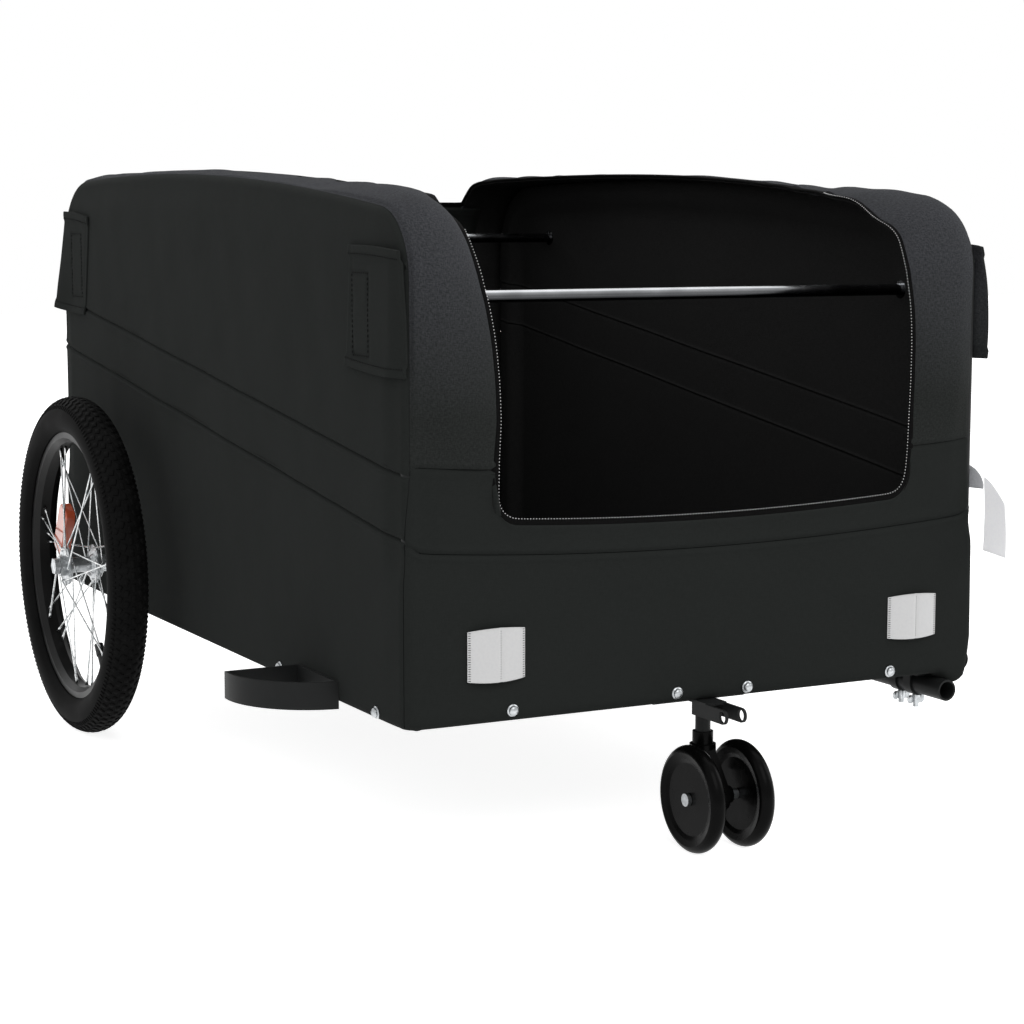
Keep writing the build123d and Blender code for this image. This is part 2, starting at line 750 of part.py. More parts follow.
# ---------------------------------------------------------------- nodes
def all_nodes():
    right_rail = side_rail()
    right_hoop = hoop()
    straps = [crossbar_strap(front_bar_back, front_bar_z, True),
              crossbar_strap(rear_bar_back, rear_bar_z, False)]
    right_panel = side_panel()
    right_band = top_band()
    nodes = {
        "left_rail": right_rail,
        "right_rail": mirrored(right_rail),
        "front_rail": cross_rail(front_rail_back),
        "rear_rail": cross_rail(rear_rail_back),
        "middle_beam": cross_rail(mid_beam_back),
        "axle_beam": cross_rail(wheel_back),
        "left_hoop": right_hoop,
        "right_hoop": mirrored(right_hoop),
        "front_crossbar": crossbar(front_bar_back, front_bar_z),
        "rear_crossbar": crossbar(rear_bar_back, rear_bar_z),
        "crossbar_straps": Compound(straps + [mirrored(s) for s in straps]),
        "floor_panel": floor_panel(),
        "left_side_panel": right_panel,
        "right_side_panel": mirrored(right_panel),
        "front_panel": front_panel(),
        "rear_panel": rear_panel(),
        "left_top_band": right_band,
        "right_top_band": mirrored(right_band),
        "corner_flaps": corner_flaps(),
        "front_patches": patches(True),
        "rear_patches": patches(False),
        "hang_tag": hang_tag(),
        "tow_tube": tow_tube(),
        "tow_plate": tow_plate(),
        "tow_clips": tow_clips(),
        "tow_bolts": tow_bolts(),
        "caster_bracket": caster_bracket(),
        "caster_stem": caster_stem(),
        "caster_fork": caster_fork(),
        "caster_axle": caster_axle(),
        "caster_wheels": caster_wheels(),
    }
    for side, sign in (("left", 1), ("right", -1)):
        nodes[side + "_axle_bracket"] = axle_bracket(sign)
        nodes[side + "_axle"] = axle(sign)
        nodes[side + "_wheel_guard"] = wheel_guard(sign)
        nodes[side + "_tyre"] = tyre(sign)
        nodes[side + "_rim"] = rim(sign)
        nodes[side + "_hub"] = hub(sign)
        nodes[side + "_spokes"] = spokes(sign)
        nodes[side + "_valve"] = valve(sign)
        nodes[side + "_spoke_reflector"] = spoke_reflector(sign)
    return nodes


def main():
    os.makedirs("parts", exist_ok=True)
    for name, shape in all_nodes().items():
        export_step(shape, "parts/" + name + ".step")


main()
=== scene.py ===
"""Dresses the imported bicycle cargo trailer: sewn cover, bindings, stitches, tyres, finishes.

Lengths are metres in the part's own frame: +X is the trailer's left-hand side, +Y points to
its rear and +Z up. Every soft panel of the frame is stood for by a sewn sheet made here.
"""
import json
import logging
import math
from dataclasses import dataclass, field, replace
from enum import Enum
from typing import Callable, Sequence

import bmesh
import bpy
import numpy as np
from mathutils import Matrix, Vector


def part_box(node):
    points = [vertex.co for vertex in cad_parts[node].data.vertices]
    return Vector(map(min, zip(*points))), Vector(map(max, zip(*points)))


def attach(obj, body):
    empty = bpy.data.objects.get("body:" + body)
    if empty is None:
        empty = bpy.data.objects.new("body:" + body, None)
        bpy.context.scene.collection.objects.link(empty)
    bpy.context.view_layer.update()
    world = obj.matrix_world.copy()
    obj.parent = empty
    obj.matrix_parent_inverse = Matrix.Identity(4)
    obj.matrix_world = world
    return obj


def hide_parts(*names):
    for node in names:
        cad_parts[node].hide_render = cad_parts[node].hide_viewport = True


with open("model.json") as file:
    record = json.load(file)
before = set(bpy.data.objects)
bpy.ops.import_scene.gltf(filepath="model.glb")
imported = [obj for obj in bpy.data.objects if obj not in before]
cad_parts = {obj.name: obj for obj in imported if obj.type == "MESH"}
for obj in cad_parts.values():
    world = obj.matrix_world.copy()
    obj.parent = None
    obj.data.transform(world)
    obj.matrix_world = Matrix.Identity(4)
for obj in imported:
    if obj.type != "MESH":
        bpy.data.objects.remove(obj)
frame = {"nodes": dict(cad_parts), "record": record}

LOG = logging.getLogger("trailer")
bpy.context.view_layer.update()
CLOTH_MAP = "cloth"             # UV map of every sewn sheet, in metres along its threads
UP = "up"                       # point attribute: the way out of the surface under a stitch
THICKNESS = "cloth thickness"   # modifier that every sewn sheet has
SHARP_EDGE = math.radians(62)   # edges of a sheet that bend by more are rounded
Socket = bpy.types.NodeSocket
Value = float | int | bool | tuple | Socket | bpy.types.Material
Colour = tuple[float, float, float, float]
Size = tuple[float, float, float]
NOISE_OUT = 0                   # a noise texture's mask


class Side(Enum):
    """The two sides of the trailer, as the sign of their X."""

    LEFT = 1
    RIGHT = -1

    @property
    def label(self) -> str:
        """The side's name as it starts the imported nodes' names."""
        return self.name.lower()


class Body(Enum):
    """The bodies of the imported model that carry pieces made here."""

    TRAILER = "trailer"
    LEFT_WHEEL = "left_wheel"
    RIGHT_WHEEL = "right_wheel"


# ------------------------------------------------------------------ small mathematics
def smooth_step(value: np.ndarray | float, low: float, high: float) -> np.ndarray:
    """Rises smoothly from 0 at low to 1 at high.

    Args:
        value: Where to read the step.
        low: Start of the rise.
        high: End of the rise.

    Returns:
        The step's height, from 0 to 1.
    """
    t = np.clip((np.asarray(value, float) - low) / (high - low), 0.0, 1.0)
    return t * t * (3.0 - 2.0 * t)


def bell(value: np.ndarray | float, middle: float, reach: float) -> np.ndarray:
    """A rounded bump, 1 at the middle and near 0 past twice its reach.

    Args:
        value: Where to read the bump.
        middle: Place of its top.
        reach: Distance from the top at which it has fallen to a third.

    Returns:
        The bump's height.
    """
    return np.exp(-(((np.asarray(value, float) - middle) / reach) ** 2))


def ripple(u: np.ndarray, v: np.ndarray, wavelength: float, seed: int) -> np.ndarray:
    """Uneven gentle waves over a sheet, the same on each run.

    Args:
        u: Distance along the sheet.
        v: Distance across it.
        wavelength: Typical length of a wave.
        seed: Chooses the waves.

    Returns:
        Heights between about -1 and 1.
    """
    draw = np.random.default_rng(seed)
    total = np.zeros(np.broadcast(u, v).shape)
    waves = 6
    for _ in range(waves):
        angle, phase = draw.uniform(0, math.tau, 2)
        length = wavelength * draw.uniform(0.7, 1.6)
        across = u * math.cos(angle) + v * math.sin(angle)
        total = total + np.sin(math.tau * across / length + phase)
    return total / waves * 1.6


def spread(low: float, high: float, step: float) -> np.ndarray:
    """Evenly spaced places from low to high, about a step apart.

    Args:
        low: First place.
        high: Last place.
        step: Wanted distance between neighbours.

    Returns:
        The places, both ends among them.
    """
    return np.linspace(low, high, max(2, int(round(abs(high - low) / step)) + 1))


def length_along(points: np.ndarray) -> np.ndarray:
    """Distance of each point of a line from its first, measured along the line."""
    return np.concatenate([[0.0], np.cumsum(np.linalg.norm(np.diff(points, axis=0), axis=1))])


# ------------------------------------------------------------------ meshes
def new_object(name: str, mesh: bpy.types.Mesh, smooth: bool = True) -> bpy.types.Object:
    """Links a mesh to the scene as an object at the origin.

    Args:
        name: Name of the piece.
        mesh: Its mesh, in the row frame.
        smooth: Shade its faces smooth.

    Returns:
        The new object.
    """
    if smooth:
        mesh.shade_smooth()
    piece = bpy.data.objects.new(name, mesh)
    bpy.context.scene.collection.objects.link(piece)
    return piece


def mesh_of(name: str, points: np.ndarray, faces: Sequence[Sequence[int]]) -> bpy.types.Mesh:
    """A mesh from its points and faces, checked for faults.

    Args:
        name: Name of the mesh.
        points: The vertices, one row each.
        faces: Vertex numbers of each face.

    Returns:
        The mesh.
    """
    mesh = bpy.data.meshes.new(name)
    mesh.from_pydata([tuple(p) for p in points], [], [tuple(f) for f in faces])
    mesh.validate()
    return mesh


def grid_faces(rows: int, columns: int, wrap: bool = False) -> list[tuple[int, int, int, int]]:
    """Faces of a grid of points stored row by row.

    Args:
        rows: Number of rows.
        columns: Number of points in a row.
        wrap: Join each row's last point to its first.

    Returns:
        Four vertex numbers for each face.
    """
    faces = []
    for r in range(rows - 1):
        here, next_row = r * columns, (r + 1) * columns
        for c in range(columns if wrap else columns - 1):
            d = (c + 1) % columns
            faces.append((here + c, here + d, next_row + d, next_row + c))
    return faces


def add_cloth_map(mesh: bpy.types.Mesh, places: np.ndarray) -> None:
    """Gives a sheet its thread directions as a UV map in metres.

    Args:
        mesh: The sheet's mesh.
        places: One (along, across) row for each vertex.
    """
    layer = mesh.uv_layers.new(name=CLOTH_MAP)
    corner = np.zeros(len(mesh.loops), np.int64)
    mesh.loops.foreach_get("vertex_index", corner)
    layer.data.foreach_set("uv", np.asarray(places, np.float32)[corner].ravel())


def sheet_mesh(name: str, grid: np.ndarray, places: np.ndarray, outward: Vector) -> bpy.types.Mesh:
    """An open sheet from a grid of points.

    Args:
        name: Name of the mesh.
        grid: Points as rows x columns x 3.
        places: Thread places as rows x columns x 2, in metres.
        outward: The way that the sheet's outer face looks at its middle.

    Returns:
        The sheet's mesh, facing outwards.
    """
    rows, columns = grid.shape[:2]
    mesh = mesh_of(name, grid.reshape(-1, 3), grid_faces(rows, columns))
    add_cloth_map(mesh, places.reshape(-1, 2))
    if mesh.polygons[len(mesh.polygons) // 2].normal.dot(outward) < 0:
        mesh.flip_normals()
    return mesh


def thicken(piece: bpy.types.Object, thickness: float, round_edge: float) -> None:
    """Gives a sheet its thickness, inwards, and rounds its turned edges.

    Args:
        piece: The sheet.
        thickness: Thickness of cloth and padding.
        round_edge: Radius of the turned edge, or 0 for a plain one.
    """
    solid = piece.modifiers.new(THICKNESS, "SOLIDIFY")
    solid.thickness = thickness
    solid.offset = -1.0
    solid.use_quality_normals = True
    if round_edge > 0:
        bevel = piece.modifiers.new("turned edge", "BEVEL")
        bevel.width = round_edge
        bevel.segments = 2
        bevel.limit_method = "ANGLE"
        bevel.angle_limit = SHARP_EDGE
        bevel.use_clamp_overlap = True


def frames_along(path: np.ndarray, up: np.ndarray, closed: bool) -> tuple[np.ndarray, ...]:
    """Tangent, sideways and upward directions at each point of a line.

    Args:
        path: The line's points.
        up: Rough upward direction at each point.
        closed: The line's last point joins its first.

    Returns:
        Unit tangents, sideways and upward directions.
    """
    if closed:
        tangent = np.roll(path, -1, axis=0) - np.roll(path, 1, axis=0)
    else:
        tangent = np.gradient(path, axis=0)
    tangent /= np.linalg.norm(tangent, axis=1, keepdims=True)
    side = np.cross(tangent, up)
    side /= np.linalg.norm(side, axis=1, keepdims=True)
    return tangent, side, np.cross(side, tangent)


def tube_mesh(name: str, path: np.ndarray, up: np.ndarray, section: np.ndarray,
              closed: bool = False) -> bpy.types.Mesh:
    """A section carried along a line, with its ends closed.

    Args:
        name: Name of the mesh.
        path: The line's points.
        up: Rough upward direction at each point.
        section: Points of the section as (sideways, up) rows.
        closed: The line's last point joins its first.

    Returns:
        The tube's mesh.
    """
    _, side, above = frames_along(path, up, closed)
    count, around = len(path), len(section)
    points = (path[:, None, :] + side[:, None, :] * section[None, :, :1]
              + above[:, None, :] * section[None, :, 1:])
    faces = grid_faces(count, around, wrap=True)
    if closed:
        last = (count - 1) * around
        faces += [(last + c, last + (c + 1) % around, (c + 1) % around, c) for c in range(around)]
    else:
        faces += [tuple(range(around)), tuple((count - 1) * around + c for c in range(around))]
    mesh = mesh_of(name, points.reshape(-1, 3), faces)
    girth = length_along(np.vstack([section, section[:1]]))[:-1]
    along = length_along(path)
    places = np.stack(np.meshgrid(girth, along), axis=-1)
    add_cloth_map(mesh, places.reshape(-1, 2))
    recalculate_normals(mesh)
    return mesh


def recalculate_normals(mesh: bpy.types.Mesh) -> None:
    """Merges doubles and points every face of a closed mesh outwards.

    Args:
        mesh: The mesh, which is changed in place.
    """
    work = bmesh.new()
    work.from_mesh(mesh)
    bmesh.ops.remove_doubles(work, verts=work.verts, dist=1e-6)
    bmesh.ops.recalc_face_normals(work, faces=work.faces)
    work.to_mesh(mesh)
    work.free()


def oval(width: float, height: float, around: int = 10) -> np.ndarray:
    """Points of an oval section as (sideways, up) rows.

    Args:
        width: Its full width, sideways.
        height: Its full height.
        around: Number of points.

    Returns:
        The points.
    """
    angle = np.arange(around) / around * math.tau
    return np.stack([np.cos(angle) * width / 2, np.sin(angle) * height / 2], axis=1)


def lathe_mesh(name: str, profile: Sequence[tuple[float, float]], centre: Vector, outward: int,
               around: int) -> bpy.types.Mesh:
    """A closed profile turned about an axle that runs along X.

    Args:
        name: Name of the mesh.
        profile: (radius, distance outwards) points of a closed outline.
        centre: The middle of the axle.
        outward: Sign of X that counts as outwards.
        around: Number of steps round the axle.

    Returns:
        The turned mesh.
    """
    outline = np.array(profile)
    angle = np.arange(around) / around * math.tau
    y = np.cos(angle)[:, None] * outline[None, :, 0] + centre.y
    z = np.sin(angle)[:, None] * outline[None, :, 0] + centre.z
    x = np.broadcast_to(outline[:, 1] * outward + centre.x, y.shape)
    points = np.stack([x, y, z], axis=-1)
    count = len(outline)
    faces = grid_faces(around, count, wrap=True)
    last = (around - 1) * count
    faces += [(last + c, last + (c + 1) % count, (c + 1) % count, c) for c in range(count)]
    mesh = mesh_of(name, points.reshape(-1, 3), faces)
    recalculate_normals(mesh)
    return mesh


def line_with_up(name: str, path: np.ndarray, up: np.ndarray, closed: bool = False,
                 joined: bool = True) -> bpy.types.Object:
    """A bare line whose points carry the way out of the surface beneath them.

    Args:
        name: Name of the object.
        path: The line's points.
        up: Unit direction out of the surface at each point.
        closed: The line's last point joins its first.
        joined: Its points are joined, and not loose ones.

    Returns:
        The line as an object.
    """
    count = len(path)
    edges = [(i, i + 1) for i in range(count - 1)] if joined else []
    if closed:
        edges.append((count - 1, 0))
    mesh = bpy.data.meshes.new(name)
    mesh.from_pydata([tuple(p) for p in path], edges, [])
    attribute = mesh.attributes.new(UP, "FLOAT_VECTOR", "POINT")
    attribute.data.foreach_set("vector", np.asarray(up, np.float32).ravel())
    return new_object(name, mesh, smooth=False)


# ------------------------------------------------------------------ node trees
class TreeWriter:
    """Adds nodes to one tree and links them."""

    def __init__(self, tree: bpy.types.NodeTree) -> None:
        """Keeps the tree that is written."""
        self.tree = tree

    def add(self, kind: str, inputs: dict[str | int, Value] | None = None,
            **settings: object) -> bpy.types.Node:
        """Adds one node.

        Args:
            kind: The node's type.
            inputs: A value, or another node's output, for each named or numbered input.
            **settings: Properties of the node itself.

        Returns:
            The new node.
        """
        node = self.tree.nodes.new(kind)
        for name, value in settings.items():
            setattr(node, name, value)
        self.feed(node, inputs or {})
        return node

    def feed(self, node: bpy.types.Node, inputs: dict[str | int, Value]) -> None:
        """Sets or links a node's inputs.

        Args:
            node: The node.
            inputs: A value, or another node's output, for each named or numbered input.
        """
        for key, value in inputs.items():
            if isinstance(value, Socket):
                self.tree.links.new(value, node.inputs[key])
            else:
                node.inputs[key].default_value = value

    def group(self, tree: bpy.types.NodeTree, inputs: dict[str | int, Value]) -> bpy.types.Node:
        """Places a shared shader node group."""
        return self.add("ShaderNodeGroup", inputs, node_tree=tree)

    def math(self, operation: str, first: Value, second: Value = 0.0) -> Socket:
        """One Math node's result.

        Args:
            operation: What it does.
            first: Its first input.
            second: Its second input.

        Returns:
            The output socket.
        """
        return self.add("ShaderNodeMath", {0: first, 1: second}, operation=operation).outputs[0]

    def combine(self, **parts: Value) -> Socket:
        """A vector from its parts, by the names X, Y and Z."""
        return self.add("ShaderNodeCombineXYZ", dict(parts)).outputs[0]


class SocketKind(Enum):
    """Kinds of socket that the trees' interfaces use."""

    GEOMETRY = "NodeSocketGeometry"
    NUMBER = "NodeSocketFloat"
    WHOLE = "NodeSocketInt"
    VECTOR = "NodeSocketVector"
    MATERIAL = "NodeSocketMaterial"


def new_tree(name: str, kind: str, inputs: dict[str, SocketKind],
             outputs: dict[str, SocketKind]) -> tuple[TreeWriter, bpy.types.Node, bpy.types.Node]:
    """A node tree with its named inputs and outputs.

    Args:
        name: Name of the tree.
        kind: GeometryNodeTree or ShaderNodeTree.
        inputs: Name and kind of each input.
        outputs: Name and kind of each output.

    Returns:
        The writer, the group's input node and its output node.
    """
    tree = bpy.data.node_groups.new(name, kind)
    for label, socket in inputs.items():
        tree.interface.new_socket(label, in_out="INPUT", socket_type=socket.value)
    for label, socket in outputs.items():
        tree.interface.new_socket(label, in_out="OUTPUT", socket_type=socket.value)
    writer = TreeWriter(tree)
    return writer, writer.add("NodeGroupInput"), writer.add("NodeGroupOutput")


def shape_tree(name: str, numbers: Sequence[str], others: dict[str, SocketKind] | None = None
               ) -> tuple[TreeWriter, dict[str, Socket], Socket]:
    """A Geometry Nodes tree that takes a mesh, some numbers and a material.

    Args:
        name: Name of the tree.
        numbers: Names of its number inputs.
        others: Name and kind of each further input.

    Returns:
        The writer, the group's inputs by name and the socket that takes the result.
    """
    inputs = {"Geometry": SocketKind.GEOMETRY, **dict.fromkeys(numbers, SocketKind.NUMBER),
              **(others or {}), "Material": SocketKind.MATERIAL}
    write, start, end = new_tree(name, "GeometryNodeTree", inputs,
                                 {"Geometry": SocketKind.GEOMETRY})
    return write, {label: start.outputs[label] for label in inputs}, end.inputs[0]


def grow(source: bpy.types.Object, tree: bpy.types.NodeTree, name: str,
         values: dict[str, Value]) -> bpy.types.Object:
    """Runs a Geometry Nodes tree on an object and keeps the result as a plain mesh.

    Args:
        source: The object that the tree starts from; it is removed.
        tree: The tree.
        name: Name of the resulting piece.
        values: A value for each of the tree's inputs, by name.

    Returns:
        The resulting piece.
    """
    modifier = source.modifiers.new("grown", "NODES")
    modifier.node_group = tree
    for item in tree.interface.items_tree:
        if item.in_out == "INPUT" and item.name in values:
            modifier[item.identifier] = values[item.name]
    depsgraph = bpy.context.evaluated_depsgraph_get()
    mesh = bpy.data.meshes.new_from_object(source.evaluated_get(depsgraph), depsgraph=depsgraph)
    bpy.data.objects.remove(source)
    mesh.name = name
    return new_object(name, mesh)


class Patterns:
    """The Geometry Nodes trees for what repeats, each built once."""

    def __init__(self) -> None:
        """Builds every tree."""
        self.stitches = self._stitches()
        self.screws = self._screws()
        self.tread = self._tread()
        self.spokes = self._spokes()

    @staticmethod
    def _upright(write: TreeWriter) -> Socket:
        """A rotation whose Z follows the stored way out of the surface.

        Args:
            write: The group's writer.

        Returns:
            The rotation.
        """
        up = write.add("GeometryNodeInputNamedAttribute", {"Name": UP}, data_type="FLOAT_VECTOR")
        return write.add("FunctionNodeAlignRotationToVector",
                         {"Vector": up.outputs["Attribute"]}, axis="Z").outputs[0]

    @staticmethod
    def _turned(write: TreeWriter, rotation: Value, axis: str, angle: Value) -> Socket:
        """A rotation turned further about one of its own axes.

        Args:
            write: The tree's writer.
            rotation: The rotation to start from.
            axis: The axis: X, Y or Z.
            angle: The further turn.

        Returns:
            The new rotation.
        """
        turn = write.add("FunctionNodeEulerToRotation", {0: write.combine(**{axis: angle})})
        return write.add("FunctionNodeRotateRotation",
                         {"Rotation": rotation, "Rotate By": turn.outputs[0]},
                         rotation_space="LOCAL").outputs[0]

    @staticmethod
    def _cone(write: TreeWriter, sides: int, foot: Value, top: Value, depth: Value) -> Socket:
        """A closed cone or cylinder that stands along Z.

        Args:
            write: The tree's writer.
            sides: Number of its sides.
            foot: Radius of its lower end.
            top: Radius of its upper end.
            depth: Its height.

        Returns:
            The mesh.
        """
        return write.add("GeometryNodeMeshCone",
                         {"Vertices": sides, "Radius Bottom": foot, "Radius Top": top,
                          "Depth": depth}).outputs["Mesh"]

    @staticmethod
    def _moved(write: TreeWriter, shape: Socket, **changes: Value) -> Socket:
        """A shape moved, turned or scaled, by the names of the changes."""
        return write.add("GeometryNodeTransform", {"Geometry": shape, **changes}).outputs[0]

    @staticmethod
    def _joined(write: TreeWriter, parts: Sequence[Socket]) -> Socket:
        """Several shapes as one.

        Args:
            write: The group's writer.
            parts: The shapes.

        Returns:
            The joined shape.
        """
        join = write.add("GeometryNodeJoinGeometry")
        for part in parts:
            write.tree.links.new(part, join.inputs[0])
        return join.outputs[0]

    @staticmethod
    def _placed(write: TreeWriter, points: Socket, shape: Socket, rotation: Socket,
                **more: Value) -> Socket:
        """A copy of a shape at each point.

        Args:
            write: The tree's writer.
            points: The points.
            shape: The shape.
            rotation: How each copy is turned.
            **more: Further inputs of the node.

        Returns:
            The copies.
        """
        return write.add("GeometryNodeInstanceOnPoints",
                         {"Points": points, "Instance": shape, "Rotation": rotation,
                          **more}).outputs[0]

    @staticmethod
    def _finish(write: TreeWriter, geometry: Socket, material: Socket,
                result: Socket) -> bpy.types.NodeTree:
        """Ends a tree: instances made real, then the material.

        Args:
            write: The tree's writer.
            geometry: What the tree has made.
            material: The material for it.
            result: The socket that takes the result.

        Returns:
            The finished tree.
        """
        real = write.add("GeometryNodeRealizeInstances", {0: geometry})
        dressed = write.add("GeometryNodeSetMaterial",
                            {"Geometry": real.outputs[0], "Material": material})
        write.tree.links.new(dressed.outputs[0], result)
        return write.tree

    def _stitches(self) -> bpy.types.NodeTree:
        """Stitches along a line: small lozenges that may slant to and fro.

        Returns:
            The tree.
        """
        write, given, result = shape_tree("stitch row",
                                          ("Spacing", "Length", "Width", "Height", "Slant"))
        curve = write.add("GeometryNodeMeshToCurve", {0: given["Geometry"]})
        points = write.add("GeometryNodeCurveToPoints",
                           {"Curve": curve.outputs[0], "Length": given["Spacing"]},
                           mode="LENGTH")
        standing = write.add("FunctionNodeAlignRotationToVector",
                             {"Rotation": self._upright(write),
                              "Vector": points.outputs["Tangent"]}, axis="X", pivot_axis="Z")
        index = write.add("GeometryNodeInputIndex")
        parity = write.math("PINGPONG", index.outputs[0], 1.0)
        way = write.math("MULTIPLY_ADD", parity, 2.0)       # -1, 1, -1, 1 along the row
        way.node.inputs[2].default_value = -1.0
        slanted = self._turned(write, standing.outputs[0], "Z",
                               write.math("MULTIPLY", way, given["Slant"]))
        bead = write.add("GeometryNodeMeshIcoSphere", {"Radius": 0.5, "Subdivisions": 1})
        size = write.combine(X=given["Length"], Y=given["Width"], Z=given["Height"])
        shaped = self._moved(write, bead.outputs["Mesh"], Scale=size)
        placed = self._placed(write, points.outputs["Points"], shaped, slanted)
        return self._finish(write, placed, given["Material"], result)

    def _screws(self) -> bpy.types.NodeTree:
        """Domed screws on washers, one at each point of a mesh, standing on the surface.

        Returns:
            The tree.
        """
        write, given, result = shape_tree("screw set", ("Washer Radius", "Washer Height",
                                                        "Head Radius", "Head Height"))
        thick, round_head = given["Washer Height"], given["Head Radius"]
        narrowed = [write.math("MULTIPLY", radius, taper) for radius, taper in
                    ((given["Washer Radius"], 0.93), (round_head, 0.96))]
        washer = self._cone(write, 28, given["Washer Radius"], narrowed[0], thick)
        collar = self._moved(write, self._cone(write, 28, round_head, narrowed[1], thick),
                             Translation=write.combine(Z=thick))
        ball = write.add("GeometryNodeMeshUVSphere", {"Segments": 28, "Rings": 14, "Radius": 1.0})
        tall = write.math("SUBTRACT", given["Head Height"], write.math("MULTIPLY", thick, 0.5))
        dome = self._moved(write, ball.outputs["Mesh"],
                           Translation=write.combine(Z=write.math("MULTIPLY", thick, 2.0)),
                           Scale=write.combine(X=round_head, Y=round_head, Z=tall))
        screw = self._joined(write, (washer, collar, dome))
        placed = self._placed(write, given["Geometry"], screw, self._upright(write))
        return self._finish(write, placed, given["Material"], result)

    def _tread(self) -> bpy.types.NodeTree:
        """A ring of tapered rubber blocks about an axle that runs along X.

        Returns:
            The tree.
        """
        write, given, result = shape_tree(
            "tread ring", ("Radius", "Offset", "Tilt", "Phase", "Slant"),
            {"Count": SocketKind.WHOLE, "Block": SocketKind.VECTOR, "Centre": SocketKind.VECTOR})
        line = write.add("GeometryNodeMeshLine", {"Count": given["Count"]})
        index = write.add("GeometryNodeInputIndex")
        share = write.math("DIVIDE", index.outputs[0], given["Count"])
        angle = write.math("MULTIPLY_ADD", share, math.tau)
        write.tree.links.new(given["Phase"], angle.node.inputs[2])
        y, z = (write.math("MULTIPLY", write.math(wave, angle), given["Radius"])
                for wave in ("COSINE", "SINE"))
        ring = write.add("GeometryNodeSetPosition",
                         {"Geometry": line.outputs[0],
                          "Position": write.combine(X=given["Offset"], Y=y, Z=z)})
        turn_x = write.math("SUBTRACT", angle, math.pi / 2)
        rotation = write.add("FunctionNodeEulerToRotation", {0: write.combine(X=turn_x)}).outputs[0]
        for axis, part in (("Y", "Tilt"), ("Z", "Slant")):
            rotation = self._turned(write, rotation, axis, given[part])
        corner = math.sqrt(0.5)             # a four-sided cone whose sides are 1 long
        squared = self._moved(write, self._cone(write, 4, corner, corner * 0.8, 1.0),
                              Translation=(0, 0, -0.5), Rotation=(0, 0, math.pi / 4))
        block = self._moved(write, squared, Scale=given["Block"])
        placed = self._placed(write, ring.outputs[0], block, rotation)
        moved = self._moved(write, placed, Translation=given["Centre"])
        return self._finish(write, moved, given["Material"], result)

    def _spokes(self) -> bpy.types.NodeTree:
        """Wires along separate lines, each ending in a nipple at the rim.

        Returns:
            The tree.
        """
        write, given, result = shape_tree("spoke set",
                                          ("Wire Radius", "Nipple Radius", "Nipple Length"))
        curve = write.add("GeometryNodeMeshToCurve", {0: given["Geometry"]}).outputs[0]
        section = write.add("GeometryNodeCurvePrimitiveCircle",
                            {"Resolution": 8, "Radius": given["Wire Radius"]})
        wire = write.add("GeometryNodeCurveToMesh",
                         {"Curve": curve, "Profile Curve": section.outputs[0],
                          "Fill Caps": True}).outputs[0]
        last = write.add("GeometryNodeCurveEndpointSelection", {"Start Size": 0, "End Size": 1})
        tangent = write.add("GeometryNodeInputTangent").outputs[0]
        aligned = write.add("FunctionNodeAlignRotationToVector", {"Vector": tangent}, axis="Z")
        nipple = self._cone(write, 8, given["Wire Radius"], given["Nipple Radius"],
                            given["Nipple Length"])
        back = write.math("MULTIPLY", given["Nipple Length"], -1.0)
        seated = self._moved(write, nipple, Translation=write.combine(Z=back))
        nipples = self._placed(write, curve, seated, aligned.outputs[0],
                               Selection=last.outputs[0])
        both = self._joined(write, (wire, nipples))
        return self._finish(write, both, given["Material"], result)


# ------------------------------------------------------------------ finishes
def ink(red: int, green: int, blue: int) -> Colour:
    """A display colour as the linear colour that a shader takes.

    Args:
        red: Red, from 0 to 255.
        green: Green.
        blue: Blue.

    Returns:
        The linear colour with full alpha.
    """
    parts = []
    for part in (red / 255, green / 255, blue / 255):
        parts.append(part / 12.92 if part <= 0.04045 else ((part + 0.055) / 1.055) ** 2.4)
    return (parts[0], parts[1], parts[2], 1.0)


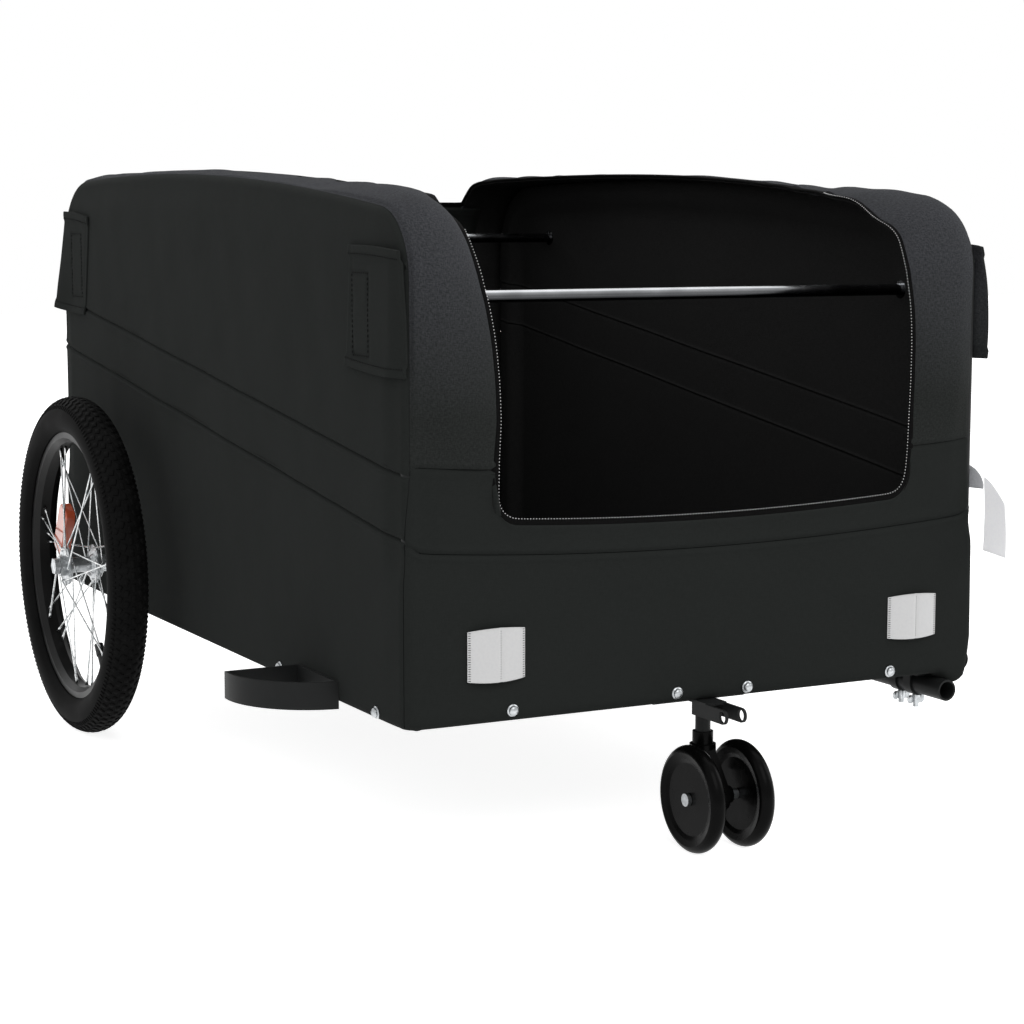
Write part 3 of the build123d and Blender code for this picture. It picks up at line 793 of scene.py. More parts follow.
class Effects:
    """Shader node groups that several finishes share, each built once."""

    def __init__(self) -> None:
        """Builds every group."""
        self.weave = self._weave()
        self.mottle = self._mottle()
        self.grain = self._grain()

    @staticmethod
    def _weave() -> bpy.types.NodeTree:
        """Plain weave: the threads' relief, and the uneven shade of single threads.

        Returns:
            The group.
        """
        write, start, end = new_tree(
            "plain weave", "ShaderNodeTree",
            {"Place": SocketKind.VECTOR, "Pitch": SocketKind.NUMBER, "Streak": SocketKind.NUMBER},
            {"Relief": SocketKind.NUMBER, "Shade": SocketKind.NUMBER})
        place = write.add("ShaderNodeSeparateXYZ", {0: start.outputs["Place"]})
        turns = write.math("DIVIDE", math.tau, start.outputs["Pitch"])
        warp, weft = (write.math("SINE", write.math("MULTIPLY", place.outputs[k], turns))
                      for k in (0, 1))
        relief = write.math("MULTIPLY_ADD", write.math("MULTIPLY", warp, weft), 0.5)
        relief.node.inputs[2].default_value = 0.5
        fine = write.math("DIVIDE", 1.0, start.outputs["Pitch"])
        coarse = write.math("DIVIDE", fine, start.outputs["Streak"])
        shades = []
        for along, across in ((coarse, fine), (fine, coarse)):
            scaled = write.add("ShaderNodeVectorMath",
                               {0: start.outputs["Place"], 1: write.combine(X=along, Y=across)},
                               operation="MULTIPLY")
            noise = write.add("ShaderNodeTexNoise",
                              {"Vector": scaled.outputs[0], "Scale": 0.8, "Detail": 2.0})
            shades.append(noise.outputs[0])
        shade = write.math("MULTIPLY", write.math("ADD", *shades), 0.5)
        write.tree.links.new(relief, end.inputs["Relief"])
        write.tree.links.new(shade, end.inputs["Shade"])
        return write.tree

    @staticmethod
    def _one_mask(name: str, kind: str, output: str | int, settings: dict[str, object],
                  values: dict[str | int, Value]) -> bpy.types.NodeTree:
        """A group that puts out one texture as a mask, at a size in metres.

        Args:
            name: Name of the group.
            kind: The texture node's type.
            output: The texture's output that is used.
            settings: Properties of the texture node.
            values: Values of its other inputs.

        Returns:
            The group.
        """
        write, start, end = new_tree(name, "ShaderNodeTree", {"Place": SocketKind.VECTOR,
                                                              "Size": SocketKind.NUMBER},
                                     {"Mask": SocketKind.NUMBER})
        scale = write.math("DIVIDE", 1.0, start.outputs["Size"])
        texture = write.add(kind, {"Vector": start.outputs["Place"], "Scale": scale, **values},
                            **settings)
        write.tree.links.new(texture.outputs[output], end.inputs["Mask"])
        return write.tree

    def _mottle(self) -> bpy.types.NodeTree:
        """Soft uneven patches, as handling and dust leave them."""
        return self._one_mask("soft mottle", "ShaderNodeTexNoise", NOISE_OUT, {},
                              {"Detail": 3.0, "Roughness": 0.55})

    def _grain(self) -> bpy.types.NodeTree:
        """Fine cellular grain, as on powder coat, rubber and moulded faces."""
        return self._one_mask("fine grain", "ShaderNodeTexVoronoi", "Distance",
                              {"feature": "SMOOTH_F1"}, {})


@dataclass(frozen=True)
class Finish:
    """A surface finish: its colour, its gloss and what varies over it."""

    name: str
    colour: Colour
    roughness: float = 0.5
    specular: float = 0.5

    def material(self, effects: Effects) -> bpy.types.Material:
        """Builds the finish's material.

        Args:
            effects: The shared node groups.

        Returns:
            The material.
        """
        material = bpy.data.materials.new(self.name)
        material.use_nodes = True
        material.node_tree.nodes.clear()
        write = TreeWriter(material.node_tree)
        shader = write.add("ShaderNodeBsdfPrincipled",
                           {"Base Color": self.colour, "Roughness": self.roughness,
                            "Specular IOR Level": self.specular})
        write.add("ShaderNodeOutputMaterial", {"Surface": shader.outputs[0]})
        self.dress(write, shader, effects)
        return material

    def dress(self, write: TreeWriter, shader: bpy.types.Node, effects: Effects) -> None:
        """Adds what varies over the surface; each kind of finish has its own."""

    @staticmethod
    def mix(write: TreeWriter, share: Value, first: Value, second: Value,
            low: float = 0.0, high: float = 1.0) -> Socket:
        """Two colours mixed by a mask that is stretched between low and high.

        Args:
            write: The material's writer.
            share: The mask.
            first: The colour where the mask is low.
            second: The colour where it is high.
            low: Value of the mask at which the second colour starts to show.
            high: Value at which only the second colour shows.

        Returns:
            The mixed colour.
        """
        stretched = write.add("ShaderNodeMapRange", {0: share, 1: low, 2: high})
        return write.add("ShaderNodeMix", {0: stretched.outputs[0], 6: first, 7: second},
                         data_type="RGBA").outputs[2]

    @staticmethod
    def range(write: TreeWriter, share: Socket, low: float, high: float) -> Socket:
        """A mask from 0.3 to 0.7 carried over to values from low to high."""
        return write.add("ShaderNodeMapRange", {0: share, 1: 0.3, 2: 0.7, 3: low,
                                                4: high}).outputs[0]

    @staticmethod
    def bump(write: TreeWriter, height: Socket, distance: float,
             under: Socket | None = None) -> Socket:
        """A bump of that height in metres, on top of another one.

        Args:
            write: The material's writer.
            height: Height from 0 to 1.
            distance: What a height of 1 stands for.
            under: Normal of the bump beneath.

        Returns:
            The normal.
        """
        inputs: dict[str | int, Value] = {"Height": height, "Distance": distance, "Strength": 1.0}
        if under is not None:
            inputs["Normal"] = under
        return write.add("ShaderNodeBump", inputs).outputs[0]


@dataclass(frozen=True)
class WovenCloth(Finish):
    """Woven polyester, with uneven threads, a nap and soft creases; on some, a painted sheen that
    lightens it higher up.
    """

    roughness: float = 0.92
    specular: float = 0.02
    thread: Colour = ink(60, 60, 62)
    pitch: float = 0.0014
    relief: float = 0.00016
    crease: float = 0.0011
    crease_size: float = 0.055
    wear_size: float = 0.11
    sheen: float = 0.02
    streak: float = 5.0                 # how much longer than its pitch a thread's shade is
    shade: tuple[float, float] = (0.38, 0.68)
    upper: tuple[Colour, ...] = ()      # painted sheen: colour and thread colour painted lighter higher up, where the top catches the light
    painted_sheen_from: tuple[float, float] = (0.43, 0.57)

    def dress(self, write: TreeWriter, shader: bpy.types.Node, effects: Effects) -> None:
        """Adds threads, patches of uneven tone, weave relief and creases, and a painted sheen
        higher up where one is given.

        Args:
            write: The material's writer.
            shader: The surface's shader.
            effects: The shared node groups.
        """
        place = write.add("ShaderNodeUVMap", uv_map=CLOTH_MAP).outputs[0]
        weave = write.group(effects.weave,
                            {"Place": place, "Pitch": self.pitch, "Streak": self.streak})
        patches = write.group(effects.mottle, {"Place": place, "Size": self.wear_size})
        shade = weave.outputs["Shade"]
        threads = self.mix(write, shade, self.colour, self.thread, *self.shade)
        # painted sheen: the cloth turns to lighter colours higher up, as where its top faces the
        # light
        if self.upper:
            at = write.add("ShaderNodeTexCoord").outputs["Object"]
            height = write.add("ShaderNodeSeparateXYZ", {0: at}).outputs[2]
            painted_sheen_threads = self.mix(write, shade, *self.upper, *self.shade)
            threads = self.mix(write, height, threads, painted_sheen_threads, *self.painted_sheen_from)
        worn = write.add("ShaderNodeMix",
                         {0: self.range(write, patches.outputs[0], 0.0, 0.30), 6: threads,
                          7: self.thread}, data_type="RGBA")
        creases = write.group(effects.mottle, {"Place": place, "Size": self.crease_size})
        soft = self.bump(write, creases.outputs[0], self.crease)
        write.feed(shader, {
            "Base Color": worn.outputs[2],
            "Roughness": self.range(write, shade, self.roughness - 0.08, self.roughness),
            "Normal": self.bump(write, weave.outputs["Relief"], self.relief, soft),
            "Sheen Weight": self.sheen, "Sheen Roughness": 0.4})


@dataclass(frozen=True)
class HardFinish(Finish):
    """A hard surface with patches of a second colour, uneven gloss and a fine relief."""

    second: Colour | None = None        # colour of the patches
    tint: float = 1.0                   # or what the first colour is multiplied by for them
    patch: float = 0.03                 # size of the patches
    cellular: bool = False              # the patches are cells
    share: tuple[float, float] = (0.35, 0.75)   # stretch of the patches' mask
    uneven: tuple[float, float] | None = None   # least and greatest change of the roughness
    grain: float | None = None          # size of the relief's grain; None: it follows the patches
    relief: float = 0.0
    metal: float = 0.0
    coat: float = 0.0
    coat_roughness: float = 0.12

    def with_painted_light(self, write: TreeWriter, place: Socket, colour: Socket) -> Socket:
        """The colour with any painted light that a finish adds to it; this one adds none."""
        return colour

    def dress(self, write: TreeWriter, shader: bpy.types.Node, effects: Effects) -> None:
        """Adds the patches, the uneven gloss and the relief.

        Args:
            write: The material's writer.
            shader: The surface's shader.
            effects: The shared node groups.
        """
        place = write.add("ShaderNodeTexCoord").outputs["Object"]
        mask = effects.grain if self.cellular else effects.mottle
        patches = write.group(mask, {"Place": place, "Size": self.patch}).outputs[0]
        tinted = tuple(min(1.0, part * self.tint) for part in self.colour[:3]) + (1.0,)
        colour = self.mix(write, patches, self.colour, self.second or tinted, *self.share)
        inputs = {"Base Color": self.with_painted_light(write, place, colour), "Metallic": self.metal,
                  "Coat Weight": self.coat, "Coat Roughness": self.coat_roughness}
        if self.uneven is not None:
            low, high = (self.roughness + change for change in self.uneven)
            inputs["Roughness"] = self.range(write, patches, low, high)
        if self.relief > 0:
            height = patches if self.grain is None else write.group(
                effects.grain, {"Place": place, "Size": self.grain}).outputs[0]
            inputs["Normal"] = self.bump(write, height, self.relief)
        write.feed(shader, inputs)


@dataclass(frozen=True)
class CoatedMetal(HardFinish):
    """Painted or powder-coated tube and plate; on bars it can add a painted highlight above and
    painted shade below.
    """

    tint: float = 1.5
    patch: float = 0.045
    share: tuple[float, float] = (0.35, 0.8)
    uneven: tuple[float, float] | None = (-0.05, 0.07)
    grain: float | None = 0.0011
    relief: float = 0.00004
    under: Colour | None = None         # painted shade: colour of a bar's lower half
    bar_height: float = 0.533           # height of the first bar's middle
    bar_gap: float = 0.048              # height from that bar to the next one
    bar_radius: float = 0.006

    def with_painted_light(self, write: TreeWriter, place: Socket, colour: Socket) -> Socket:
        """Paints shade on the lower half of bars that lie a set height apart, below a painted
        highlight.

        Args:
            write: The material's writer.
            place: The surface's place.
            colour: Colour of the bars' upper half, a painted highlight.

        Returns:
            The colour from the painted highlight above to the painted shade below.
        """
        if self.under is None:
            return colour
        split = write.add("ShaderNodeSeparateXYZ", {"Vector": place})
        above = write.math("SUBTRACT", split.outputs["Z"], self.bar_height - self.bar_gap / 2)
        above = write.math("MODULO", above, self.bar_gap)
        above = write.math("SUBTRACT", above, self.bar_gap / 2)
        ramp = write.add("ShaderNodeMapRange", {"Value": above, "From Min": -self.bar_radius,
                                                "From Max": self.bar_radius})
        # painted highlight on top, fading fast into painted shade underneath
        share = write.math("POWER", ramp.outputs["Result"], 3.0)
        return self.mix(write, share, self.under, colour)


@dataclass(frozen=True)
class PlatedSteel(HardFinish):
    """Bright zinc or stainless steel with a faint uneven haze."""

    second: Colour | None = ink(150, 158, 160)
    patch: float = 0.006
    uneven: tuple[float, float] | None = (-0.06, 0.12)
    metal: float = 1.0


@dataclass(frozen=True)
class SoftRubber(HardFinish):
    """Matt rubber or thread with a bloom of dust in its grain."""

    second: Colour | None = ink(27, 27, 27)
    share: tuple[float, float] = (0.40, 1.0)
    uneven: tuple[float, float] | None = (-0.08, 0.05)
    grain: float | None = 0.0016
    relief: float = 0.00008


@dataclass(frozen=True)
class MouldedPlastic(HardFinish):
    """Smooth moulded plastic with faint flow marks and a slight waviness."""

    tint: float = 0.7
    patch: float = 0.025
    uneven: tuple[float, float] | None = (-0.04, 0.06)
    relief: float = 0.00025
    coat_roughness: float = 0.06


@dataclass(frozen=True)
class PrismSheet(HardFinish):
    """Silver reflective sheet with fine prism cells under a clear face."""

    second: Colour | None = ink(187, 187, 188)
    patch: float = 0.0022
    cellular: bool = True
    share: tuple[float, float] = (0.1, 0.9)
    relief: float = 0.00004
    metal: float = 0.15
    coat: float = 0.4
    coat_roughness: float = 0.15


@dataclass(frozen=True)
class PaperCard(HardFinish):
    """Pale card or ribbon with a faint fibre, through which some light falls."""

    second: Colour | None = ink(250, 250, 252)
    patch: float = 0.003
    share: tuple[float, float] = (0.3, 0.7)
    relief: float = 0.00002
    through: float = 0.4                # share of light that falls through

    def dress(self, write: TreeWriter, shader: bpy.types.Node, effects: Effects) -> None:
        """Adds the fibre, and the light that falls through.

        Args:
            write: The material's writer.
            shader: The surface's shader.
            effects: The shared node groups.
        """
        super().dress(write, shader, effects)
        colour, normal = (shader.inputs[name].links[0].from_socket
                          for name in ("Base Color", "Normal"))
        through = write.add("ShaderNodeBsdfTranslucent", {"Color": colour, "Normal": normal})
        both = write.add("ShaderNodeMixShader", {0: self.through, 1: shader.outputs[0],
                                                 2: through.outputs[0]})
        output = next(node for node in write.tree.nodes if node.type == "OUTPUT_MATERIAL")
        write.feed(output, {"Surface": both.outputs[0]})


class Finishes:
    """Every finish of the trailer as a material."""

    def __init__(self, effects: Effects) -> None:
        """Builds the materials.

        Args:
            effects: The shared node groups.
        """
        def made(finish: Finish) -> bpy.types.Material:
            """The finish's material."""
            return finish.material(effects)

        self.cover = made(WovenCloth("black cover cloth", ink(34, 36, 35), thread=ink(38, 40, 39),
                                     pitch=0.0011, relief=0.00010))
        # the band gets a painted sheen: lighter colours higher up, where its top faces the light
        self.band = made(WovenCloth("charcoal band cloth", ink(32, 34, 33), thread=ink(46, 48, 47),
                                    pitch=0.0009, relief=0.00014, sheen=0.03, streak=3.0,
                                    upper=(ink(46, 47, 50), ink(74, 75, 79))))
        self.lining = made(WovenCloth("black lining", ink(34, 34, 34), thread=ink(41, 41, 41),
                                      sheen=0.0, pitch=0.0011))
        self.tape = made(WovenCloth("black edge tape", ink(11, 11, 11), thread=ink(20, 20, 20),
                                    pitch=0.0010, crease=0.0004))
        self.ribbon = made(PaperCard("pale tag ribbon", ink(205, 206, 208), 0.6, 0.3,
                                     second=ink(190, 191, 194)))
        self.white_thread = made(SoftRubber("white sewing thread", ink(205, 205, 205), 0.7, 0.2,
                                            second=ink(188, 188, 188)))
        self.black_thread = made(SoftRubber("black sewing thread", ink(8, 8, 8), 0.7, 0.05,
                                            second=ink(13, 13, 13)))
        self.frame_paint = made(CoatedMetal("satin black powder coat", ink(27, 28, 28), 0.45, 0.10))
        # the bars: a bright metal colour as a painted highlight above, and painted shade (under)
        # below
        self.bar_painted_light = made(CoatedMetal("gloss black enamel", ink(190, 192, 195), 0.20, 0.5,
                                          grain=0.004, relief=0.00001, metal=1.0,
                                          under=ink(24, 25, 26)))
        self.rim_paint = made(CoatedMetal("satin black rim", ink(24, 24, 24), 0.34, 0.12))
        self.board = made(CoatedMetal("matt black floor board", ink(26, 26, 26), 0.85, 0.15,
                                      grain=0.002, relief=0.0001))
        self.zinc = made(PlatedSteel("bright zinc", ink(186, 189, 191), 0.30,
                                     second=ink(140, 143, 145)))
        self.wire = made(PlatedSteel("stainless wire", ink(222, 222, 222), 0.22))
        self.tyre = made(SoftRubber("tyre rubber", ink(12, 12, 12), 0.74, 0.04))
        self.valve = made(SoftRubber("valve rubber", ink(20, 20, 20), 0.5, 0.4))
        self.gloss_black = made(MouldedPlastic("gloss black plastic", ink(7, 7, 7), 0.24, 0.045))
        self.amber = made(MouldedPlastic("amber plastic", ink(206, 92, 58), 0.2, 0.5, coat=0.6))
        self.silver = made(PrismSheet("silver reflective sheet", ink(192, 192, 192), 0.35, 0.5))
        self.card = made(PaperCard("blank white card", ink(255, 255, 255), 0.6, 0.3))


def dress(piece: bpy.types.Object, material: bpy.types.Material) -> None:
    """Gives a whole piece one material."""
    piece.data.materials.clear()
    piece.data.materials.append(material)


def report(piece: bpy.types.Object) -> None:
    """Logs a finished piece with its number of faces."""
    LOG.info("%s: %d faces", piece.name, len(piece.data.polygons))


def mount(piece: bpy.types.Object, body: Body, replaces: Sequence[str] = ()) -> None:
    """Hands a finished piece to its body.

    Args:
        piece: The piece.
        body: The body that it moves with.
        replaces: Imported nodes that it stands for.
    """
    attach(piece, body.value)
    if replaces:
        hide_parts(*replaces)
    report(piece)


# ------------------------------------------------------------------ the tub's shape
@dataclass(frozen=True)
class Outline:
    """A run of points along the tub's side view, front to rear."""

    back: np.ndarray            # distance behind the front face
    height: np.ndarray
    out_back: np.ndarray        # the way out of the tub, in the same plane
    out_up: np.ndarray
    along: np.ndarray           # distance along it, which on the front leg is the height

    def moved_out(self, distance: np.ndarray | float) -> tuple[np.ndarray, np.ndarray]:
        """The points' places when they are moved out of the tub by that distance."""
        return self.back + self.out_back * distance, self.height + self.out_up * distance

    def thinned(self, every: int, kept: int) -> "Outline":
        """Every so many of its points, but all of them near both ends.

        Args:
            every: Keeps one of so many points in the middle.
            kept: Number of points that stay at each end.

        Returns:
            The thinner outline.
        """
        count = len(self.back)
        index = [*range(kept), *range(kept, count - kept, every), *range(count - kept, count)]
        return Outline(*(getattr(self, part)[index] for part in
                         ("back", "height", "out_back", "out_up", "along")))


@dataclass(frozen=True)
class Tub:
    """The shape that every piece of the cover follows."""

    low: Vector
    high: Vector
    corner_front: float = 0.070
    corner_rear: float = 0.095
    shoulder_front: float = 0.616
    shoulder_rear: float = 0.652
    crest: float = 0.661
    crest_back: float = 0.640
    foot_front: float = 0.380           # seam under the top bands' front ends
    foot_rear: float = 0.509
    rear_top: float = 0.625             # top edge of the rear panel
    seam_slope: float = 0.1286          # the side's two diagonal seams
    seam_low: float = 0.3176
    seam_high: float = 0.3770
    rim_left: tuple[tuple[float, float], ...] = (   # the opening's edge: height, distance out
        (0.345, 0.2350), (0.379, 0.2377), (0.413, 0.2389), (0.448, 0.2402), (0.482, 0.2405),
        (0.510, 0.2395), (0.537, 0.2398), (0.568, 0.2402), (0.600, 0.2430))
    rim_right: tuple[tuple[float, float], ...] = (
        (0.345, 0.2326), (0.388, 0.2318), (0.424, 0.2298), (0.4465, 0.2307), (0.4635, 0.2317),
        (0.4885, 0.2343), (0.5135, 0.2380), (0.536, 0.2405), (0.547, 0.2424), (0.566, 0.2442),
        (0.600, 0.2455))
    rear_half: float = 0.2345           # half the width of the rear panel's upper part
    sill: float = 0.323
    sill_round: float = 0.024
    floor: float = 0.170
    taut: tuple[tuple[float, float], ...] = (       # height, and how far the cloth is pulled in
        (0.140, 0.0150), (0.145, 0.0100), (0.152, 0.0060), (0.165, 0.0022), (0.180, 0.0),
        (0.260, 0.0009), (0.310, 0.0012), (0.350, 0.0036), (0.440, 0.0034), (0.600, 0.0012))
    taut_out: tuple[float, float] = (0.27, 0.315)
    taut_back: tuple[float, float] = (0.05, 0.20)
    droop: float = 0.0125               # how much lower the cover hangs at that corner
    droop_out: tuple[float, float] = (0.283, 0.306)
    droop_height: tuple[float, float] = (0.143, 0.185)
    droop_back: tuple[float, float] = (0.03, 0.12)
    long_seam: float = 0.294            # middle of the front's long seam
    long_seam_rise: float = 0.0135      # its rise at that distance out
    long_seam_half: float = 0.31
    long_seam_hook: float = 0.006       # its further rise round the corner
    long_seam_turn: tuple[float, float] = (0.303, 0.324)
    foot_seam_rise: float = 0.006       # rise of the short seams, from and over that distance
    foot_seam_from: float = 0.230
    foot_seam_width: float = 0.09
    bow: float = 0.042                  # how far the bands' inner edges bow, and where
    bow_back: tuple[float, float] = (0.126, 0.905)
    bow_height: tuple[float, float] = (0.50, 0.58)
    bow_power: float = 0.85
    waves: tuple[tuple[float, ...], ...] = (        # size, middle, reach, length and phase
        (0.0035, 0.20, 0.16, 0.082, 0.6), (0.0030, 0.86, 0.13, 0.070, 0.0))
    rim_back: tuple[float, float] = (0.03, 0.20)    # where the front's rim becomes the rear's
    sag_deep: float = 0.0178
    sag_from: tuple[float, float] = (0.500, 0.595)  # places along the outline
    sag_until: tuple[float, float] = (0.642, 0.715)
    sag_held: float = 0.300             # distance out up to which the cloth is held
    sag_power: float = 1.7

    @property
    def length(self) -> float:
        """Length of the tub."""
        return self.high.y - self.low.y

    def outline(self, foot_front: float, foot_rear: float, step: float) -> Outline:
        """The arch with its two legs as evenly spaced points.

        Args:
            foot_front: Height at which the front leg starts.
            foot_rear: Height at which the rear leg ends.
            step: Distance between points.

        Returns:
            The points, from the front foot over the arch to the rear foot.
        """
        near, top = (0.0, self.shoulder_front), (self.crest_back, self.crest)
        far = (self.length, self.shoulder_rear)
        rows = [[2 * (p[0] - near[0]), 2 * (p[1] - near[1])] for p in (top, far)]
        squares = [p[0] ** 2 + p[1] ** 2 - near[0] ** 2 - near[1] ** 2 for p in (top, far)]
        cy, cz = np.linalg.solve(np.array(rows), np.array(squares))
        radius = math.hypot(near[0] - cy, near[1] - cz)
        parts = []
        ends = []
        for place, corner in ((self.corner_front, self.corner_front),
                              (self.length - self.corner_rear, self.corner_rear)):
            rise = cz + math.sqrt((radius - corner) ** 2 - (place - cy) ** 2)
            ends.append((place, rise, math.atan2(rise - cz, place - cy)))
        (y0, z0, a0), (y1, z1, a1) = ends
        leg = np.linspace(foot_front, z0, 200)[:-1]
        parts.append(np.stack([0 * leg, leg, 0 * leg - 1, 0 * leg], 1))
        for cy_, cz_, r, start, stop in ((y0, z0, self.corner_front, math.pi, a0),
                                         (cy, cz, radius, a0, a1),
                                         (y1, z1, self.corner_rear, a1, 0.0)):
            a = np.linspace(start, stop, 1200)[:-1]
            parts.append(np.stack([cy_ + r * np.cos(a), cz_ + r * np.sin(a), np.cos(a),
                                   np.sin(a)], 1))
        leg = np.linspace(z1, foot_rear, 200)
        parts.append(np.stack([0 * leg + self.length, leg, 0 * leg + 1, 0 * leg], 1))
        dense = np.concatenate(parts)
        along = length_along(dense[:, :2])
        at = spread(0.0, along[-1], step)
        return Outline(*(np.interp(at, along, dense[:, k]) for k in range(4)), at + foot_front)

    def top(self, back: np.ndarray) -> np.ndarray:
        """Height of the outline at a distance behind the front face.

        Args:
            back: Distances behind the front face.

        Returns:
            The height at each of them.
        """
        line = self.outline(0.5, 0.5, 0.0005)
        inside = np.concatenate([[True], np.diff(line.back) > 1e-9])
        return np.interp(back, line.back[inside], line.height[inside])

    def nearest(self, back: np.ndarray, height: np.ndarray) -> tuple[np.ndarray, ...]:
        """Depth of points inside the outline, and the way out of it beside them.

        Args:
            back: Distances behind the front face.
            height: Heights.

        Returns:
            Depth, and the way out as its backward and its upward part.
        """
        line = self.outline(0.08, 0.08, 0.0015)
        flat_back, flat_height = np.ravel(back), np.ravel(height)
        near = np.concatenate([
            np.hypot(b[:, None] - line.back, h[:, None] - line.height).argmin(axis=1)
            for b, h in zip(np.array_split(flat_back, 16), np.array_split(flat_height, 16))])
        past = ((flat_back - line.back[near]) * line.out_up[near]
                - (flat_height - line.height[near]) * line.out_back[near])
        at = line.along[near] + past
        out_back, out_up = (np.interp(at, line.along, part) for part in
                            (line.out_back, line.out_up))
        depth = ((np.interp(at, line.along, line.back) - flat_back) * out_back
                 + (np.interp(at, line.along, line.height) - flat_height) * out_up)
        return tuple(part.reshape(np.shape(height)) for part in (depth, out_back, out_up))

    def lower_seam(self, back: np.ndarray) -> np.ndarray:
        """Height of the side's lower diagonal seam."""
        return self.seam_low + self.seam_slope * back

    def upper_seam(self, back: np.ndarray) -> np.ndarray:
        """Height of the side's upper diagonal seam."""
        return self.seam_high + self.seam_slope * back

    def front_seam(self, x: np.ndarray) -> np.ndarray:
        """Height of the front's long curved seam.

        Args:
            x: Places across.

        Returns:
            The height at each of them.
        """
        out = np.abs(x)
        return (self.long_seam + self.long_seam_rise * (out / self.long_seam_half) ** 2
                + self.long_seam_hook * smooth_step(out, *self.long_seam_turn))

    def foot_seam(self, x: np.ndarray) -> np.ndarray:
        """Height of the short front seams under the top bands."""
        out = np.abs(x) - self.foot_seam_from
        return self.foot_front + self.foot_seam_rise * out / self.foot_seam_width

    def sill_line(self, x: np.ndarray) -> np.ndarray:
        """Height of the front opening's sill between its rounded corners."""
        return self.sill + 0.0066 * (x / 0.208) ** 2

    def rim(self, height: np.ndarray, side: Side) -> np.ndarray:
        """Distance of the front opening's edge from the middle, at a height."""
        return np.interp(height, *zip(*(self.rim_left if side is Side.LEFT else self.rim_right)))

    def inner_edge(self, line: Outline, side: Side) -> np.ndarray:
        """Distance of a top band's inner edge from the middle, along an outline.

        Args:
            line: The outline.
            side: The side of the trailer.

        Returns:
            The distance at each point of the outline.
        """
        back, height = line.back, line.height
        start, stop = self.bow_back
        share = np.clip((back - start) / (stop - start), 0.0, 1.0)
        bow = self.bow * np.sin(math.pi * share) ** self.bow_power
        high = smooth_step(height, *self.bow_height)
        wave = sum(size * bell(back, middle, reach) * np.sin(math.tau * back / length + phase)
                   for size, middle, reach, length, phase in self.waves)
        behind = smooth_step(back, *self.rim_back)
        edge = self.rim(height, side) * (1 - behind) + self.rear_half * behind
        return edge + (bow + wave) * high

    def sag(self, line: Outline, x: np.ndarray, side: Side) -> np.ndarray:
        """How far the cloth sags inside the front corner towards a band's inner edge.

        Args:
            line: The outline, one row of the result for each of its points.
            x: Distances from the middle, as rows x columns.
            side: The side of the tub.

        Returns:
            The sag as rows x columns.
        """
        deep = self.sag_deep * smooth_step(line.along, *self.sag_from)
        deep = deep * (1 - smooth_step(line.along, *self.sag_until))
        held = self.sag_held
        share = np.clip((held - x) / (held - self.inner_edge(line, side)[:, None]), 0.0, 1.0)
        return deep[:, None] * share ** self.sag_power

    def place(self, x: np.ndarray, back: np.ndarray, height: np.ndarray) -> np.ndarray:
        """Points of the cover in the row frame.

        Args:
            x: Places across the tub.
            back: Distances behind the front face.
            height: Heights.

        Returns:
            The points, as an array ending in X, Y and Z.
        """
        x, back, height = np.broadcast_arrays(x, back, height)
        taut = np.interp(height, *zip(*self.taut))
        near = smooth_step(x, *self.taut_out) * (1 - smooth_step(back, *self.taut_back))
        hang = smooth_step(x, *self.droop_out) * (1 - smooth_step(height, *self.droop_height))
        hang = hang * (1 - smooth_step(back, *self.droop_back))
        return np.stack([x - taut * near, self.low.y + back, height - self.droop * hang], axis=-1)


@dataclass(frozen=True)
class Roll:
    """How the cover rolls round the hoops, from the side's face to the face across them."""

    across: float = 0.3127              # the hoop's line from the middle
    depth: float = 0.0123               # and inside the outline
    edge: float = 0.3240                # end of the faces across the hoop, before they roll
    start: float = 0.0010               # end of the side, before it rolls
    ease: float = 0.032                 # the flat faces ease into the roll

    def ends(self) -> np.ndarray:
        """Distances of the columns on the roll of a face that lies across the hoop."""
        return self.across + (self.edge - self.across) * np.array([0.22, 0.42, 0.62, 0.81, 1.0])

    @staticmethod
    def radius(height: np.ndarray) -> np.ndarray:
        """Radius of the roll; the upper cloth lies closer to the hoop."""
        return 0.0117 - 0.0029 * smooth_step(height, 0.275, 0.300)

    @staticmethod
    def seam_turn(height: np.ndarray) -> np.ndarray:
        """Angle from the side's face at which the seam lies on the roll."""
        return math.radians(33) + math.radians(34) * smooth_step(height, 0.318, 0.386)

    def side(self, face: float, depth: np.ndarray,
             height: np.ndarray) -> tuple[np.ndarray, np.ndarray]:
        """Rolls the edge of a side in.

        Args:
            face: The side's flat face from the middle.
            depth: Depth of the points inside the outline.
            height: Their heights.

        Returns:
            Their distance from the middle, and how far they move inside the outline.
        """
        share = np.clip((self.depth - depth) / (self.depth - self.start), 0.0, 1.0)
        angle, radius = share * (self.seam_turn(height) - 0.03), self.radius(height)
        rolled = self.across + radius * np.cos(angle)
        flat = smooth_step(depth, self.depth, self.depth + self.ease)
        moved = np.where(depth < self.depth, self.depth - radius * np.sin(angle) - depth, 0.0)
        return rolled * (1 - flat) + face * flat, moved

    def over(self, x: np.ndarray, height: np.ndarray) -> tuple[np.ndarray, np.ndarray]:
        """Rolls the edge of a face that lies across the hoop.

        Args:
            x: Distances of the points from the middle, of either sign.
            height: Their heights.

        Returns:
            Their new distances, with their sign, and their depth inside the outline.
        """
        out = np.abs(x)
        share = np.clip((out - self.across) / (self.edge - self.across), 0.0, 1.0)
        angle = math.pi / 2 - share * (math.pi / 2 - self.seam_turn(height) - 0.03)
        radius = self.radius(height)
        rolled = out > self.across
        near = 1 - smooth_step(self.across - out, 0.0, 0.028)
        return (np.sign(x) * np.where(rolled, self.across + radius * np.cos(angle), out),
                np.where(rolled, self.depth - radius * np.sin(angle),
                         (self.depth - radius) * near))


